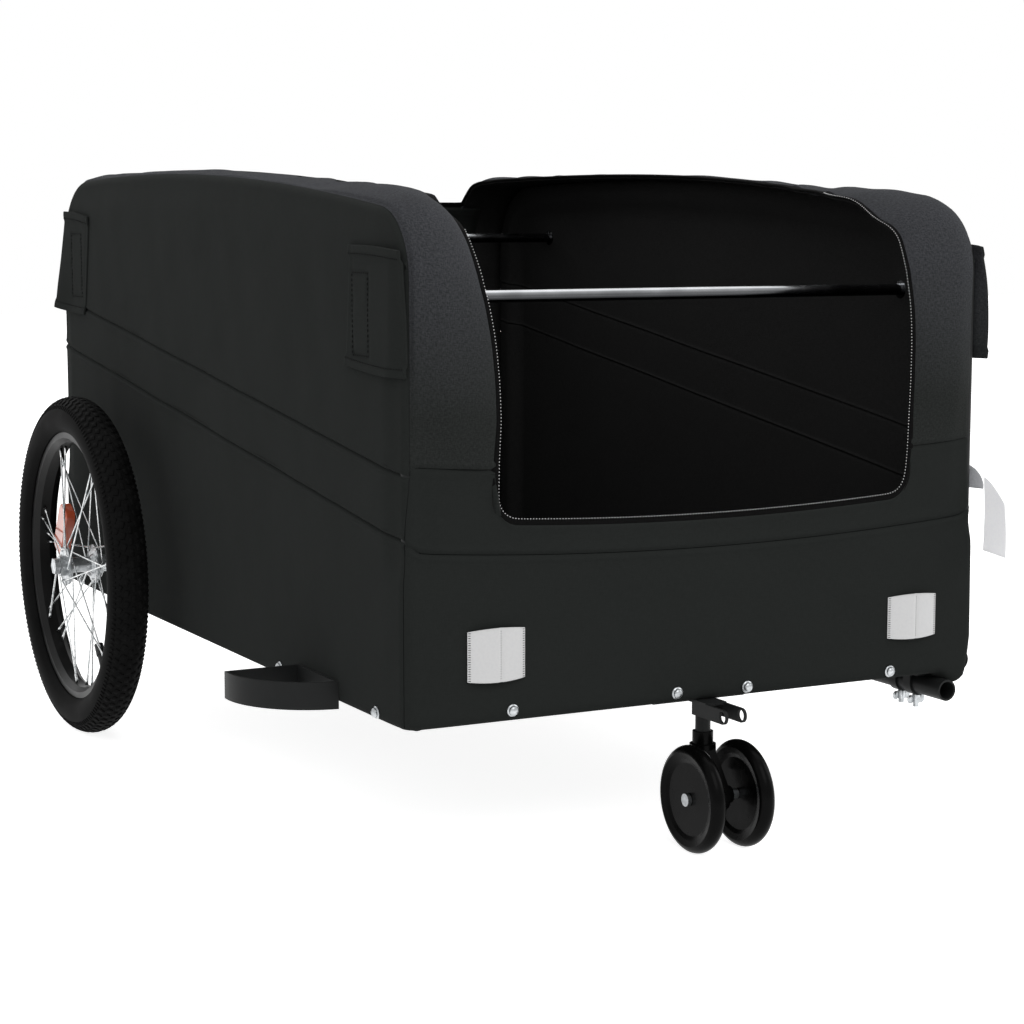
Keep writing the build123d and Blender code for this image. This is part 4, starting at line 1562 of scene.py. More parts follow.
@dataclass(frozen=True)
class Turn:
    """The cover's bottom edge, turned in round a rail."""

    rail_in: float = 0.0153             # the rail's line inside the cover's face
    reach: float = 0.0155
    drop: float = 0.0118
    middle: float = 0.155
    tail: float = 0.0115

    def rows(self) -> tuple[np.ndarray, np.ndarray]:
        """Distance inside the face, and height, of the turned rows from the inner edge up.

        Returns:
            The distances and the heights.
        """
        angle = np.radians([90.0, 78.0, 64.0, 48.0, 32.0, 16.0, 0.0]).clip(max=math.pi / 2 - 1e-9)
        inside = np.concatenate([[self.rail_in + self.tail, self.rail_in + self.tail / 2],
                                 self.rail_in - self.reach * np.cos(angle) ** 0.6])
        height = np.concatenate([[self.middle - self.drop] * 2,
                                 self.middle - self.drop * np.sin(angle) ** 0.8])
        return inside, height


# ------------------------------------------------------------------ sewing
@dataclass(frozen=True)
class Cloth:
    """How a sheet is made up."""

    material: bpy.types.Material
    slot: str
    thickness: float = 0.003
    edge: float = 0.0010


@dataclass
class Workshop:
    """What every piece is made with: shape, finishes, patterns."""

    tub: Tub
    finishes: Finishes
    patterns: Patterns
    roll: Roll = field(default_factory=Roll)

    @property
    def outer_cloth(self) -> Cloth:
        """The cloth of the cover's outer panels."""
        return Cloth(self.finishes.cover, "cover_cloth")

    @property
    def lining_cloth(self) -> Cloth:
        """The thin cloth inside the cover."""
        return Cloth(self.finishes.lining, "cover_cloth", 0.0012, 0.0)

    def sew(self, name: str, grid: np.ndarray, outward: Sequence[float],
            cloth: Cloth) -> bpy.types.Object:
        """Makes one sheet of cloth from a grid of points.

        Args:
            name: Name of the piece.
            grid: Points as rows x columns x 3.
            outward: The way that its outer face looks at its middle.
            cloth: Its make-up.

        Returns:
            The sheet, riding on the trailer.
        """
        u = np.linalg.norm(np.diff(grid, axis=1), axis=2).cumsum(axis=1)
        v = np.linalg.norm(np.diff(grid, axis=0), axis=2).cumsum(axis=0)
        places = np.zeros(grid.shape[:2] + (2,))
        places[:, 1:, 0] = u
        places[1:, :, 1] = v
        places[..., 0] -= places[:, -1:, 0] / 2
        piece = new_object(name, sheet_mesh(name, grid, places, Vector(outward)))
        dress(piece, cloth.material)
        thicken(piece, cloth.thickness, cloth.edge)
        mount(piece, Body.TRAILER)
        return piece

    def declare(self, piece: bpy.types.Object, held: str, rests_on: Sequence[str],
                with_pieces: Sequence[bpy.types.Object] = ()) -> None:
        """Reads a sheet's thread map; nothing more is done with it.

        Args:
            piece: The sheet.
            held: Not used.
            rests_on: Not used.
            with_pieces: Not used.
        """
        places = np.zeros(len(piece.data.loops) * 2, np.float32)
        piece.data.uv_layers[CLOTH_MAP].data.foreach_get("uv", places)
        places = places.reshape(-1, 2)

    def stitch(self, name: str, path: np.ndarray, up: np.ndarray, thread: bpy.types.Material,
               slot: str, spacing: float = 0.004, size: tuple[float, float, float] =
               (0.0030, 0.0008, 0.0006), slant: float = 0.0,
               closed: bool = False) -> bpy.types.Object:
        """Sews a row of stitches along a line.

        Args:
            name: Name of the row.
            path: Points of the line.
            up: The way out of the cloth at each point.
            thread: The thread's material.
            slot: Not used.
            spacing: Distance from stitch to stitch.
            size: Length, width and height of a stitch.
            slant: Turn of each stitch, to and fro.
            closed: The line's last point joins its first.

        Returns:
            The stitches as one piece.
        """
        row = grow(line_with_up(name + "_line", path, up, closed), self.patterns.stitches, name,
                   {"Spacing": spacing, "Length": size[0], "Width": size[1], "Height": size[2],
                    "Slant": slant, "Material": thread})
        mount(row, Body.TRAILER)
        return row


def seam_relief(offset: np.ndarray) -> np.ndarray:
    """Height of the cloth beside a sewn seam: a groove between two soft folds."""
    groove = -0.0022 * bell(offset, 0.0, 0.0012)
    return groove + 0.0012 * bell(offset, -0.0045, 0.0024) + 0.0009 * bell(offset, 0.0045, 0.0024)


def edge_relief(inside: np.ndarray) -> np.ndarray:
    """Height of a panel's cloth near a sewn edge, by the distance from that edge."""
    return -0.0009 * bell(inside, 0.0, 0.0014) + 0.0008 * bell(inside, 0.0045, 0.0022)


def lining_relief(offset: np.ndarray) -> np.ndarray:
    """Height of the lining beside a sewn seam: a ridge over a groove."""
    return 0.0012 * bell(offset, 0.0008, 0.0013) - 0.0011 * bell(offset, -0.0018, 0.0011)


# Rows of a sheet beside a sewn edge, across a seam inside the sheet, and below its top edge.
SEAM_STEPS = np.array([0.0, 0.0006, 0.0013, 0.0022, 0.0034, 0.0048, 0.0064, 0.0084])
SEAM_ROWS = np.array([-8, -6, -4.4, -3, -2, -1.3, -0.7, 0, 0.7, 1.3, 2, 3, 4.6, 6.5]) / 1000
TOP_DROPS = (0.013, 0.0108, 0.0086, 0.0064, 0.0043, 0.0022, 0.0)


def rows_between(low: np.ndarray, high: np.ndarray, count: int) -> np.ndarray:
    """Evenly shared heights between two lines, both left out.

    Args:
        low: The lower line's height in each column.
        high: The upper line's height in each column.
        count: Number of rows.

    Returns:
        Heights as rows x columns.
    """
    share = (np.arange(count) + 1)[:, None] / (count + 1)
    return low[None, :] * (1 - share) + high[None, :] * share


@dataclass(frozen=True)
class SideWall:
    """Side of the cover: outer cloth with two diagonal seams, and the lining inside it."""

    shop: Workshop
    side: Side
    face: float = 0.3252
    lining_face: float = 0.3165
    hoop_cover: float = 0.013           # the lining comes in by this much over the hoop
    lining_drop: float = 0.007
    lining_low: tuple[float, float] = (0.3201, 0.1428)      # its two seams: height and slope
    lining_high: tuple[float, float] = (0.3742, 0.1428)
    lining_over: tuple[float, float] = (0.024, 0.050)       # where it leaves the hoop
    lining_wave: tuple[float, float] = (0.0010, 0.19)       # height and size of its waves
    hem: float = 0.171                  # a groove over the turned edge: place, depth and width
    hem_deep: float = 0.0004
    hem_width: float = 0.0016
    wave: tuple[float, float] = (0.0008, 0.16)
    small_wave: tuple[float, float] = (0.0003, 0.06)
    wave_height: tuple[float, float] = (0.165, 0.25)        # where the waves start
    taut_share: float = 0.6             # how much smaller they are above the front seams
    taut_height: tuple[float, float] = (0.30, 0.36)
    taut_back: float = 0.3
    row_inset: float = 0.035            # a row of stitches starts and ends this far in
    row_above: float = 0.0042           # and lies this far above its seam
    row_proud: float = 0.0003
    end_steps: tuple[float, ...] = (0.0, 0.0014, 0.0032, 0.0052, 0.0074, 0.0098)

    def columns(self, start: float, stop: float) -> np.ndarray:
        """Distances behind the front face, denser round the outline's corners.

        Args:
            start: The first distance.
            stop: The last distance.

        Returns:
            The distances in order.
        """
        line = self.shop.tub.outline(0.5, 0.5, 0.0068)
        kept = list(start + np.array(self.end_steps))
        ends = [stop - (back - start) for back in kept[::-1]]
        for back in line.back:
            if kept[-1] + 0.0020 < back < ends[0] - 0.0020:
                kept.append(float(back))
        return np.array(kept + ends)

    @staticmethod
    def heights(low: float, first: np.ndarray, second: np.ndarray,
                top: np.ndarray) -> np.ndarray:
        """Heights of the rows, close together at both seams and at the top.

        Args:
            low: Height of the lowest row.
            first: Height of the lower seam in each column.
            second: Height of the upper seam.
            top: Height of the top row.

        Returns:
            Heights as rows x columns.
        """
        parts = [np.full((1, len(top)), low),
                 rows_between(np.full(len(top), low), first + SEAM_ROWS[0], 18),
                 first + SEAM_ROWS[:, None],
                 rows_between(first + SEAM_ROWS[-1], second + SEAM_ROWS[0], 5),
                 second + SEAM_ROWS[:, None],
                 rows_between(second + SEAM_ROWS[-1], top - TOP_DROPS[0], 18)]
        return np.concatenate(parts + [(top - drop)[None, :] for drop in TOP_DROPS])

    def outer(self) -> bpy.types.Object:
        """Makes the outer cloth with its turned bottom edge.

        Returns:
            The cloth.
        """
        tub, turn, roll = self.shop.tub, Turn(), self.shop.roll
        back = self.columns(roll.start, tub.length - roll.start)
        height = self.heights(turn.middle, tub.lower_seam(back), tub.upper_seam(back),
                              tub.top(back) - roll.start)
        where = np.broadcast_to(back, height.shape)
        depth, out_back, out_up = tub.nearest(where, height)
        x, moved = roll.side(self.face, depth, height)
        edge = smooth_step(height, *self.wave_height) * smooth_step(depth, 0.0, 0.05)
        held = 1 - self.taut_share * smooth_step(height, *self.taut_height) * (
            1 - smooth_step(where, 0.0, self.taut_back))
        (high, size), (small_high, small_size) = self.wave, self.small_wave
        x = (x + seam_relief(height - tub.lower_seam(where))
             + seam_relief(height - tub.upper_seam(where))
             - self.hem_deep * bell(height, self.hem, self.hem_width)
             + high * edge * held * ripple(where, height, size, 3 + self.side.value)
             + small_high * edge * ripple(where, height, small_size, 11 + self.side.value))
        where, height = where - out_back * moved, height - out_up * moved
        inside, low = (part[:-1, None] for part in turn.rows())
        middle = tub.length / 2
        pull = (middle - inside.clip(min=0)) / middle
        low_x, low_back = x[0] - inside, middle + (where[0] - middle) * pull
        low = np.broadcast_to(low, low_x.shape)
        grid = tub.place(np.concatenate([low_x, x]) * self.side.value,
                         np.concatenate([low_back, where]), np.concatenate([low, height]))
        name = f"{self.side.label}_side_cloth"
        return self.shop.sew(name, grid, (self.side.value, 0, 0), self.shop.outer_cloth)

    def seam_stitches(self) -> list[bpy.types.Object]:
        """Sews the rows of stitches just above both seams.

        Returns:
            One piece for each seam.
        """
        tub, rows = self.shop.tub, []
        back = spread(self.row_inset, tub.length - self.row_inset, 0.01)
        for label, line in (("lower", tub.lower_seam(back)), ("upper", tub.upper_seam(back))):
            x = (self.face + self.row_proud) * self.side.value
            path = tub.place(x, back, line + self.row_above)
            up = np.tile([self.side.value, 0.0, 0.0], (len(back), 1))
            rows.append(self.shop.stitch(f"{self.side.label}_{label}_seam_stitches", path, up,
                                         self.shop.finishes.black_thread, "cover_cloth"))
        return rows

    def lining(self) -> bpy.types.Object:
        """Makes the lining, which bulges over the hoop and hides it from inside.

        Returns:
            The lining.
        """
        tub = self.shop.tub
        back = self.columns(self.lining_drop, tub.length - self.lining_drop)
        (low, low_slope), (high, high_slope) = self.lining_low, self.lining_high
        height = self.heights(tub.floor, low + low_slope * back, high + high_slope * back,
                              tub.top(back) - self.lining_drop)
        where = np.broadcast_to(back, height.shape)
        depth = tub.nearest(where, height)[0]
        wave, size = self.lining_wave
        waves = wave * smooth_step(depth, 0.02, 0.08) * ripple(where, height, size,
                                                               23 + self.side.value)
        x = (self.lining_face - self.hoop_cover * (1 - smooth_step(depth, *self.lining_over))
             - lining_relief(height - low - low_slope * where)
             - lining_relief(height - high - high_slope * where) - waves)
        grid = tub.place(x * self.side.value, where, height)
        return self.shop.sew(f"{self.side.label}_lining", grid, (-self.side.value, 0, 0),
                             self.shop.lining_cloth)

    def build(self) -> None:
        """Makes the whole side."""
        node = f"{self.side.label}_side_panel"
        outer, rows = self.outer(), self.seam_stitches()
        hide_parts(node)
        self.shop.declare(outer, "stretched", [f"{self.side.label}_rail",
                                               f"{self.side.label}_hoop"], rows)
        self.shop.declare(self.lining(), "stretched", [f"{self.side.label}_hoop"])


@dataclass(frozen=True)
class EndPanels:
    """Front and rear of the cover between its corner seams, with their linings."""

    shop: Workshop
    gap: float = 0.0003                 # each panel stops this far short of a seam
    proud: float = 0.0002
    wave: tuple[float, float] = (0.0009, 0.17)      # height and size of the cloth's waves
    small_wave: tuple[float, float] = (0.0004, 0.06)
    upper_wave: tuple[float, float] = (0.0012, 0.15)
    lining_wave: tuple[float, float] = (0.0008, 0.16)
    # Rows of the front's upper panel, as shares of the way from its seam to its edge.
    upper_rows: tuple[float, ...] = (0, 0.008, 0.018, 0.03, 0.045, 0.065, 0.09, 0.125, 0.2, 0.32,
                                     0.46, 0.6, 0.74, 0.84, 0.895, 0.93, 0.953, 0.97, 0.982,
                                     0.992, 1.0)
    front_lining_half: float = 0.2255
    rear_lining_half: float = 0.2615
    lining_depth: float = 0.0065
    lining_seams: tuple[float, float] = (0.467, 0.520)
    lining_hem: tuple[float, float, float] = (0.0010, 0.612, 0.0012)    # height, place, width

    def columns(self, step: float) -> np.ndarray:
        """Places of the columns across a panel that reaches both hoops.

        Args:
            step: Greatest gap between columns on the flat.

        Returns:
            The places in order.
        """
        roll = self.shop.roll
        ends = roll.ends()
        return np.concatenate([-ends[::-1], spread(-roll.across, roll.across, step), ends])

    def turned(self, at_front: bool, x: np.ndarray, back: np.ndarray) -> tuple[np.ndarray, ...]:
        """The rows that turn in under the rail, from the inner edge up.

        Args:
            at_front: Whether it is the front panel.
            x: Places of the columns along the face's lowest row.
            back: Their distances behind the front face.

        Returns:
            X, distance behind the front face and height, as rows x columns.
        """
        inside, low = (row[:-1, None] for row in Turn().rows())
        wide = self.shop.roll.edge
        across = x[None, :] * (wide - inside.clip(min=0)) / wide
        return (across, back[None, :] + (inside if at_front else -inside),
                np.broadcast_to(low, across.shape))

    def panel(self, name: str, at_front: bool, x: np.ndarray, height: np.ndarray,
              seed: int, turned: bool) -> bpy.types.Object:
        """Makes one panel that stands upright at the front or the rear.

        Args:
            name: Name of the piece.
            at_front: Whether it is at the front.
            x: Places across as rows x columns.
            height: Heights as rows x columns.
            seed: Chooses its waves.
            turned: Whether its bottom edge turns in under the rail.

        Returns:
            The panel.
        """
        tub = self.shop.tub
        edge = smooth_step(self.shop.roll.across - np.abs(x), 0, 0.05)
        edge = edge * smooth_step(height - height[0], 0, 0.03)
        edge = edge * smooth_step(height[-1] - height, 0, 0.03)
        (high, size), (small_high, small_size) = self.wave, self.small_wave
        proud = self.proud + edge * (high * ripple(x, height, size, seed)
                                     + small_high * ripple(x, height, small_size, seed + 1))
        proud = proud + edge_relief(height[-1] - height)
        if not turned:
            proud = proud + edge_relief(height - height[0])
        x, depth = self.shop.roll.over(x, height)
        back = depth - proud if at_front else tub.length + proud - depth
        if turned:
            low_x, low_back, low_height = self.turned(at_front, x[0], back[0])
            x = np.concatenate([low_x, x])
            back = np.concatenate([low_back, back])
            height = np.concatenate([low_height, height])
        return self.shop.sew(name, tub.place(x, back, height),
                             (0, -1 if at_front else 1, 0), self.shop.outer_cloth)

    def opening_path(self, step: float) -> np.ndarray:
        """The front opening's edge from its left column down, along the sill and up again.

        Args:
            step: Distance between points.

        Returns:
            (x, height) rows from -X to +X.
        """
        tub = self.shop.tub
        r = tub.sill_round
        halves = []
        for side in Side:
            corner_x = float(tub.rim(np.array(tub.sill), side)) - r
            corner_z = float(tub.sill_line(np.array(corner_x))) + r
            angle = np.linspace(-math.pi / 2, 0, 60)
            arc = np.stack([corner_x + r * np.cos(angle), corner_z + r * np.sin(angle)], 1)
            across = np.linspace(0, corner_x, 200)
            upright = np.linspace(corner_z, tub.foot_front, 40)
            halves.append(np.concatenate([
                np.stack([across, tub.sill_line(across)], 1), arc[1:],
                np.stack([tub.rim(upright, side), upright], 1)[1:]]) * [side.value, 1])
        low, high = sorted(halves, key=lambda half: half[-1, 0])
        whole = np.concatenate([low[:0:-1], high])
        along = length_along(whole)
        at = spread(0, along[-1], step)
        return np.stack([np.interp(at, along, whole[:, k]) for k in (0, 1)], 1)

    def front(self) -> list[bpy.types.Object]:
        """Makes the front's lower and upper panels.

        Returns:
            The two panels.
        """
        tub = self.shop.tub
        x = self.columns(0.007)
        top = tub.front_seam(x) - self.gap
        low = np.full(len(x), Turn().middle)
        steps = SEAM_STEPS[::-1, None]
        height = np.concatenate([low[None, :], rows_between(low, top - steps[0], 17), top - steps])
        lower = self.panel("front_lower_cloth", True, np.broadcast_to(x, height.shape), height,
                           41, True)
        edge_path = self.opening_path(0.006)
        roll = self.shop.roll
        inner = max(abs(edge_path[0, 0]), edge_path[-1, 0])
        wing = np.concatenate([roll.ends()[::-1], spread(roll.across, inner + 0.003, 0.006)])
        left = np.stack([-wing, tub.foot_seam(wing) - self.gap], 1)
        upper_line = np.concatenate([left, edge_path, left[::-1] * [-1, 1]])
        share = length_along(upper_line)
        low_x = (2 * share / share[-1] - 1) * roll.edge
        low_z = tub.front_seam(low_x) + self.gap
        mix = np.array(self.upper_rows)[:, None]
        across = low_x * (1 - mix) + upper_line[:, 0] * mix
        height = low_z * (1 - mix) + upper_line[:, 1] * mix
        upper = self.panel("front_upper_cloth", True, across, height, 43, False)
        return [lower, upper]

    def rear(self) -> list[bpy.types.Object]:
        """Makes the rear's three panels: below, between and above the two seams.

        Returns:
            The three panels.
        """
        tub = self.shop.tub
        x = self.columns(0.008)
        first = float(tub.lower_seam(np.array(tub.length)))
        second = float(tub.upper_seam(np.array(tub.length)))
        pieces = []
        for name, low, high, turned in (("rear_lower_cloth", Turn().middle, first, True),
                                        ("rear_middle_cloth", first + self.gap, second, False)):
            top = high - self.gap
            rows = [spread(low, top - 0.0095, 0.009), top - SEAM_STEPS[::-1]]
            if not turned:
                rows = [low + SEAM_STEPS, spread(low + 0.0095, top - 0.0095, 0.009), rows[1]]
            height = np.concatenate(rows)[:, None] + 0 * x[None, :]
            pieces.append(self.panel(name, False, np.broadcast_to(x, height.shape), height,
                                     47 + len(pieces) * 2, turned))
        line = tub.outline(0.5, second + self.gap, 0.0015)
        kept = np.where((line.back > tub.length / 2) & (line.height < tub.rear_top))[0]
        kept = np.unique(np.concatenate([kept[::4], kept[-8:], kept[:1]]))
        x = spread(0.0006 - tub.rear_half, tub.rear_half - 0.0006, 0.008)
        rise = line.height[kept][:, None]
        high, size = self.upper_wave
        wave = high * ripple(x[None, :], rise, size, 53) * smooth_step(rise, second, 0.56)
        back = line.back[kept][:, None] + line.out_back[kept][:, None] * wave
        height = rise + line.out_up[kept][:, None] * wave
        pieces.append(self.shop.sew("rear_upper_cloth", tub.place(x, back, height), (0, 1, 0.2),
                                    self.shop.outer_cloth))
        return pieces

    def linings(self) -> list[bpy.types.Object]:
        """Makes the linings of the front's lower part and of the rear.

        Returns:
            The two linings.
        """
        tub = self.shop.tub
        wave, size = self.lining_wave
        x = spread(-self.front_lining_half, self.front_lining_half, 0.009)
        mix = np.linspace(0, 1, 16)[:, None]
        height = tub.floor * (1 - mix) + (tub.sill_line(x) + 0.0005) * mix
        back = self.lining_depth + wave * ripple(x[None, :], height, size, 61)
        front = self.shop.sew("front_lining", tub.place(x, back, height), (0, 1, 0),
                              self.shop.lining_cloth)
        x = spread(-self.rear_lining_half, self.rear_lining_half, 0.010)
        line = tub.outline(0.5, tub.floor, 0.0028)
        kept = (line.back > tub.length / 2) & (line.height < tub.rear_top - 0.001)
        back, height = (part[kept][:, None] for part in line.moved_out(-self.lining_depth))
        ridge, at, width = self.lining_hem
        relief = sum(lining_relief(height - seam) for seam in self.lining_seams)
        relief = relief + ridge * bell(height, at, width)
        back = back - relief - wave * ripple(x[None, :], height, size, 67)
        cloth = replace(self.shop.lining_cloth, material=self.shop.finishes.cover)
        rear = self.shop.sew("rear_lining", tub.place(x, back, height), (0, -1, 0), cloth)
        return [front, rear]

    def build(self) -> None:
        """Makes both ends."""
        front, rear = self.front(), self.rear()
        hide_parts("front_panel")
        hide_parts("rear_panel")
        for piece in front:
            self.shop.declare(piece, "stretched", ["front_rail", "left_hoop", "right_hoop"])
        for piece in rear:
            self.shop.declare(piece, "stretched", ["rear_rail", "left_hoop", "right_hoop"])
        for piece, rail in zip(self.linings(), ("front_rail", "rear_rail")):
            self.shop.declare(piece, "stretched", [rail])


@dataclass(frozen=True)
class TopBand:
    """Band of cloth over one hoop, crowned by its padding, with its facing underneath."""

    shop: Workshop
    side: Side
    shares: tuple[float, ...] = (0, 0.025, 0.05, 0.075, 0.10, 0.125, 0.16, 0.20, 0.27, 0.35, 0.43,
                                 0.51, 0.60, 0.69, 0.77, 0.84, 0.90, 0.95, 0.985, 1.0)
    padding_low: float = 0.0006         # least lift of the padding
    padding_front: float = 0.0100       # its further lift at the front and at the rear
    padding_front_back: tuple[float, float] = (0.05, 0.26)
    padding_rear: float = 0.0060
    padding_rear_back: tuple[float, float] = (0.80, 0.99)
    padding_leg: float = 0.12           # share of the lift that is left on the legs
    padding_power: float = 2.6
    fold: float = 0.0026                # folds that run across the band near both corners
    fold_length: float = 0.078
    fold_slant: float = 3.5
    fold_height: tuple[float, float] = (0.53, 0.60)
    dimple: float = 0.0009              # smaller hollows all over
    dimple_size: float = 0.11
    over_panel: float = 0.0001          # how far the feet stand off the panel's edge
    facing_in: float = 0.007
    facing_edge: float = 0.0045
    facing_shares: tuple[float, ...] = (0, 0.05, 0.15, 0.3, 0.5, 0.75, 1.0)
    facing_out: float = 0.3030          # where the facing ends under the band
    facing_sill: float = 0.2262         # its inner edge beside the sill and the rear panel
    facing_rear: float = 0.2600

    def crown(self, line: Outline) -> np.ndarray:
        """How far the padding lifts the middle of the band, along the outline.

        Args:
            line: The outline.

        Returns:
            The lift at each point of the outline.
        """
        tub = self.shop.tub
        front, rear = self.padding_front_back, self.padding_rear_back
        lift = self.padding_low + self.padding_front * (1 - smooth_step(line.back, *front))
        lift = lift + self.padding_rear * smooth_step(line.back, *rear)
        front_leg = smooth_step(line.height, tub.foot_front - 0.005, tub.foot_front + 0.075)
        rear_leg = smooth_step(line.height, tub.foot_rear - 0.005, tub.foot_rear + 0.05)
        rise = np.where(line.back < tub.length / 2, front_leg, rear_leg)
        return lift * (self.padding_leg + (1 - self.padding_leg) * rise)

    def outer(self) -> bpy.types.Object:
        """Makes the band itself.

        Returns:
            The band.
        """
        tub, roll = self.shop.tub, self.shop.roll
        line = tub.outline(tub.foot_front, tub.foot_rear, 0.0016).thinned(4, 7)
        share = np.array(self.shares)[None, :]
        inner = tub.inner_edge(line, self.side)[:, None]
        x = roll.edge * (1 - share) + inner * share
        along = length_along(np.stack([line.back, line.height], 1))[:, None]
        padded = np.clip((share - 0.05) / 0.95, 0.0, 1.0)
        lift = self.crown(line)[:, None] * (1 - np.abs(2 * padded - 1) ** self.padding_power)
        loose = bell(line.back, 0.19, 0.14)[:, None] + 0.8 * bell(line.back, 0.87, 0.12)[:, None]
        loose = loose * smooth_step(line.height, *self.fold_height)[:, None]
        turn = math.tau * along / self.fold_length + self.fold_slant * share
        folds = self.fold * loose * share ** 1.5 * np.sin(turn)
        within = np.minimum(smooth_step(share, 0, 0.2), smooth_step(1 - share, 0, 0.15))
        dimples = ripple(along, x, self.dimple_size, 71 + self.side.value)
        folds = folds + within * self.dimple * dimples
        sag = tub.sag(line, x, self.side)
        x, depth = roll.over(x, line.height[:, None] + 0 * x)
        from_foot = np.minimum(line.along - line.along[0], line.along[-1] - line.along)
        out = lift + folds - sag - depth + edge_relief(from_foot)[:, None]
        back = line.back[:, None] + line.out_back[:, None] * out
        height = line.height[:, None] + line.out_up[:, None] * out
        foot = 1 - smooth_step(height, tub.foot_front, tub.foot_front + 0.07)
        at_front = (line.back < 0.01)[:, None]
        shift = np.where(at_front, tub.foot_seam(x) + self.over_panel - tub.foot_front,
                         self.over_panel)
        height = height + shift * np.where(at_front, foot, 1 - smooth_step(
            height, tub.foot_rear, tub.foot_rear + 0.03))
        grid = tub.place(x * self.side.value, back, height)
        cloth = Cloth(self.shop.finishes.band, "band_cloth")
        name = f"{self.side.label}_band_cloth"
        return self.shop.sew(name, grid, (0.2 * self.side.value, 0, 1), cloth)

    def facing(self) -> bpy.types.Object:
        """Makes the lining under the band, from its inner edge to the side's lining.

        Returns:
            The facing.
        """
        tub = self.shop.tub
        line = tub.outline(tub.floor, tub.floor, 0.008)
        inner = tub.inner_edge(line, self.side) - 0.0008
        low = (line.back < 0.01) & (line.height < 0.345)
        inner = np.where(low, self.facing_sill, inner)
        inner = np.where((line.back > 0.9) & (line.height < tub.rear_top), self.facing_rear, inner)
        share = np.array(self.facing_shares)[None, :]
        x = inner[:, None] * (1 - share) + self.facing_out * share
        depth = self.facing_in - self.facing_edge
        depth = self.facing_edge + depth * smooth_step(share, 0, 0.3)
        depth = depth + tub.sag(line, x, self.side)
        back = line.back[:, None] - line.out_back[:, None] * depth
        height = line.height[:, None] - line.out_up[:, None] * depth
        grid = tub.place(x * self.side.value, back, height)
        return self.shop.sew(f"{self.side.label}_band_facing", grid, (0, 0, -1),
                             self.shop.lining_cloth)

    def build(self) -> None:
        """Makes the band and its facing."""
        band, hoop = self.outer(), f"{self.side.label}_hoop"
        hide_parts(f"{self.side.label}_top_band")
        self.shop.declare(band, "stretched", [hoop])
        self.shop.declare(self.facing(), "stretched", [hoop])


@dataclass(frozen=True)
class EdgeBinding:
    """The tape sewn round the whole rim of the opening, and its white stitches."""

    shop: Workshop
    panels: EndPanels
    width: float = 0.0086
    thickness: float = 0.0034
    stitched_back: float = 0.16         # the white stitches reach this far back
    right_bead_top: float = 0.597       # and this high on the right
    bead: Size = (0.0013, 0.0012, 0.0010)
    bead_step: float = 0.0031
    tooth: Size = (0.0030, 0.0009, 0.0007)
    tooth_step: float = 0.0022
    inside: float = 0.0012              # how far inside the outline the tape's middle runs

    def loop(self) -> tuple[np.ndarray, np.ndarray]:
        """The rim as a closed line, and the way out of the cover at each of its points.

        Returns:
            The points and the directions.
        """
        tub = self.shop.tub
        sill = self.panels.opening_path(0.004)
        sill_points = tub.place(sill[:, 0], 0.0 * sill[:, 0] + self.inside, sill[:, 1])
        sill_up = np.tile([0.0, -1.0, 0.0], (len(sill), 1))
        line = tub.outline(tub.foot_front + 0.004, 0.56, 0.0025)
        kept = (line.back < tub.length / 2) | (line.height > tub.rear_top)
        lines, ways = [], []
        for side in Side:
            edge = tub.inner_edge(line, side)
            sag = tub.sag(line, edge[:, None], side)[:, 0]
            back, height = line.moved_out(-self.inside - sag)
            points = np.stack([edge * side.value, tub.low.y + back, height], 1)
            lines.append(points[kept])
            ways.append(np.stack([0 * edge, line.out_back, line.out_up], 1)[kept])
        if lines[0][0, 0] < 0:
            lines, ways = lines[::-1], ways[::-1]
        across = spread(lines[0][-1, 0] - 0.004, lines[1][-1, 0] + 0.004, 0.006)
        rear = np.stack([across, 0 * across + lines[0][-1, 1], 0 * across + lines[0][-1, 2]], 1)
        rear_up = np.tile(ways[0][-1], (len(across), 1))
        path = np.concatenate([sill_points, lines[0], rear, lines[1][::-1]])
        ups = np.concatenate([sill_up, ways[0], rear_up, ways[1][::-1]])
        for _ in range(3):
            path = (np.roll(path, 1, 0) + 2 * path + np.roll(path, -1, 0)) / 4
            ups = (np.roll(ups, 1, 0) + 2 * ups + np.roll(ups, -1, 0)) / 4
        return path, ups / np.linalg.norm(ups, axis=1, keepdims=True)

    def build(self) -> None:
        """Makes the tape and its stitches."""
        tub = self.shop.tub
        path, up = self.loop()
        tape = new_object("rim_binding", tube_mesh("rim_binding", path, up,
                                                   oval(self.width, self.thickness, 12), True))
        dress(tape, self.shop.finishes.tape)
        mount(tape, Body.TRAILER)
        _, side, above = frames_along(path, up, True)
        centre = np.array([0.0, path[:, 1].mean(), 0.46])
        aim = centre - path
        aim[:, 1] *= np.where(path[:, 1] < tub.low.y + 0.05, 0.0, 1.0)
        inward = side * np.sign((side * aim).sum(axis=1, keepdims=True))
        front = np.where(path[:, 1] < tub.low.y + self.stitched_back)[0]
        order = np.concatenate([front[front > len(path) // 2], front[front <= len(path) // 2]])
        hidden = (path[:, 0] < 0) & (path[:, 2] > self.right_bead_top)
        shown = order[~hidden[order]]
        lines = path + inward * self.width * 0.47 + above * self.thickness * 0.36
        self.shop.stitch("rim_white_stitches", lines[shown], (above + 0.8 * inward)[shown],
                         self.shop.finishes.white_thread, "band_cloth", self.bead_step,
                         self.bead)
        teeth = path - inward * (self.width * 0.5 + 0.0006) + above * 0.0004
        self.shop.stitch("rim_overlock", teeth[order], above[order],
                         self.shop.finishes.black_thread, "band_cloth", self.tooth_step,
                         self.tooth, math.pi / 2)


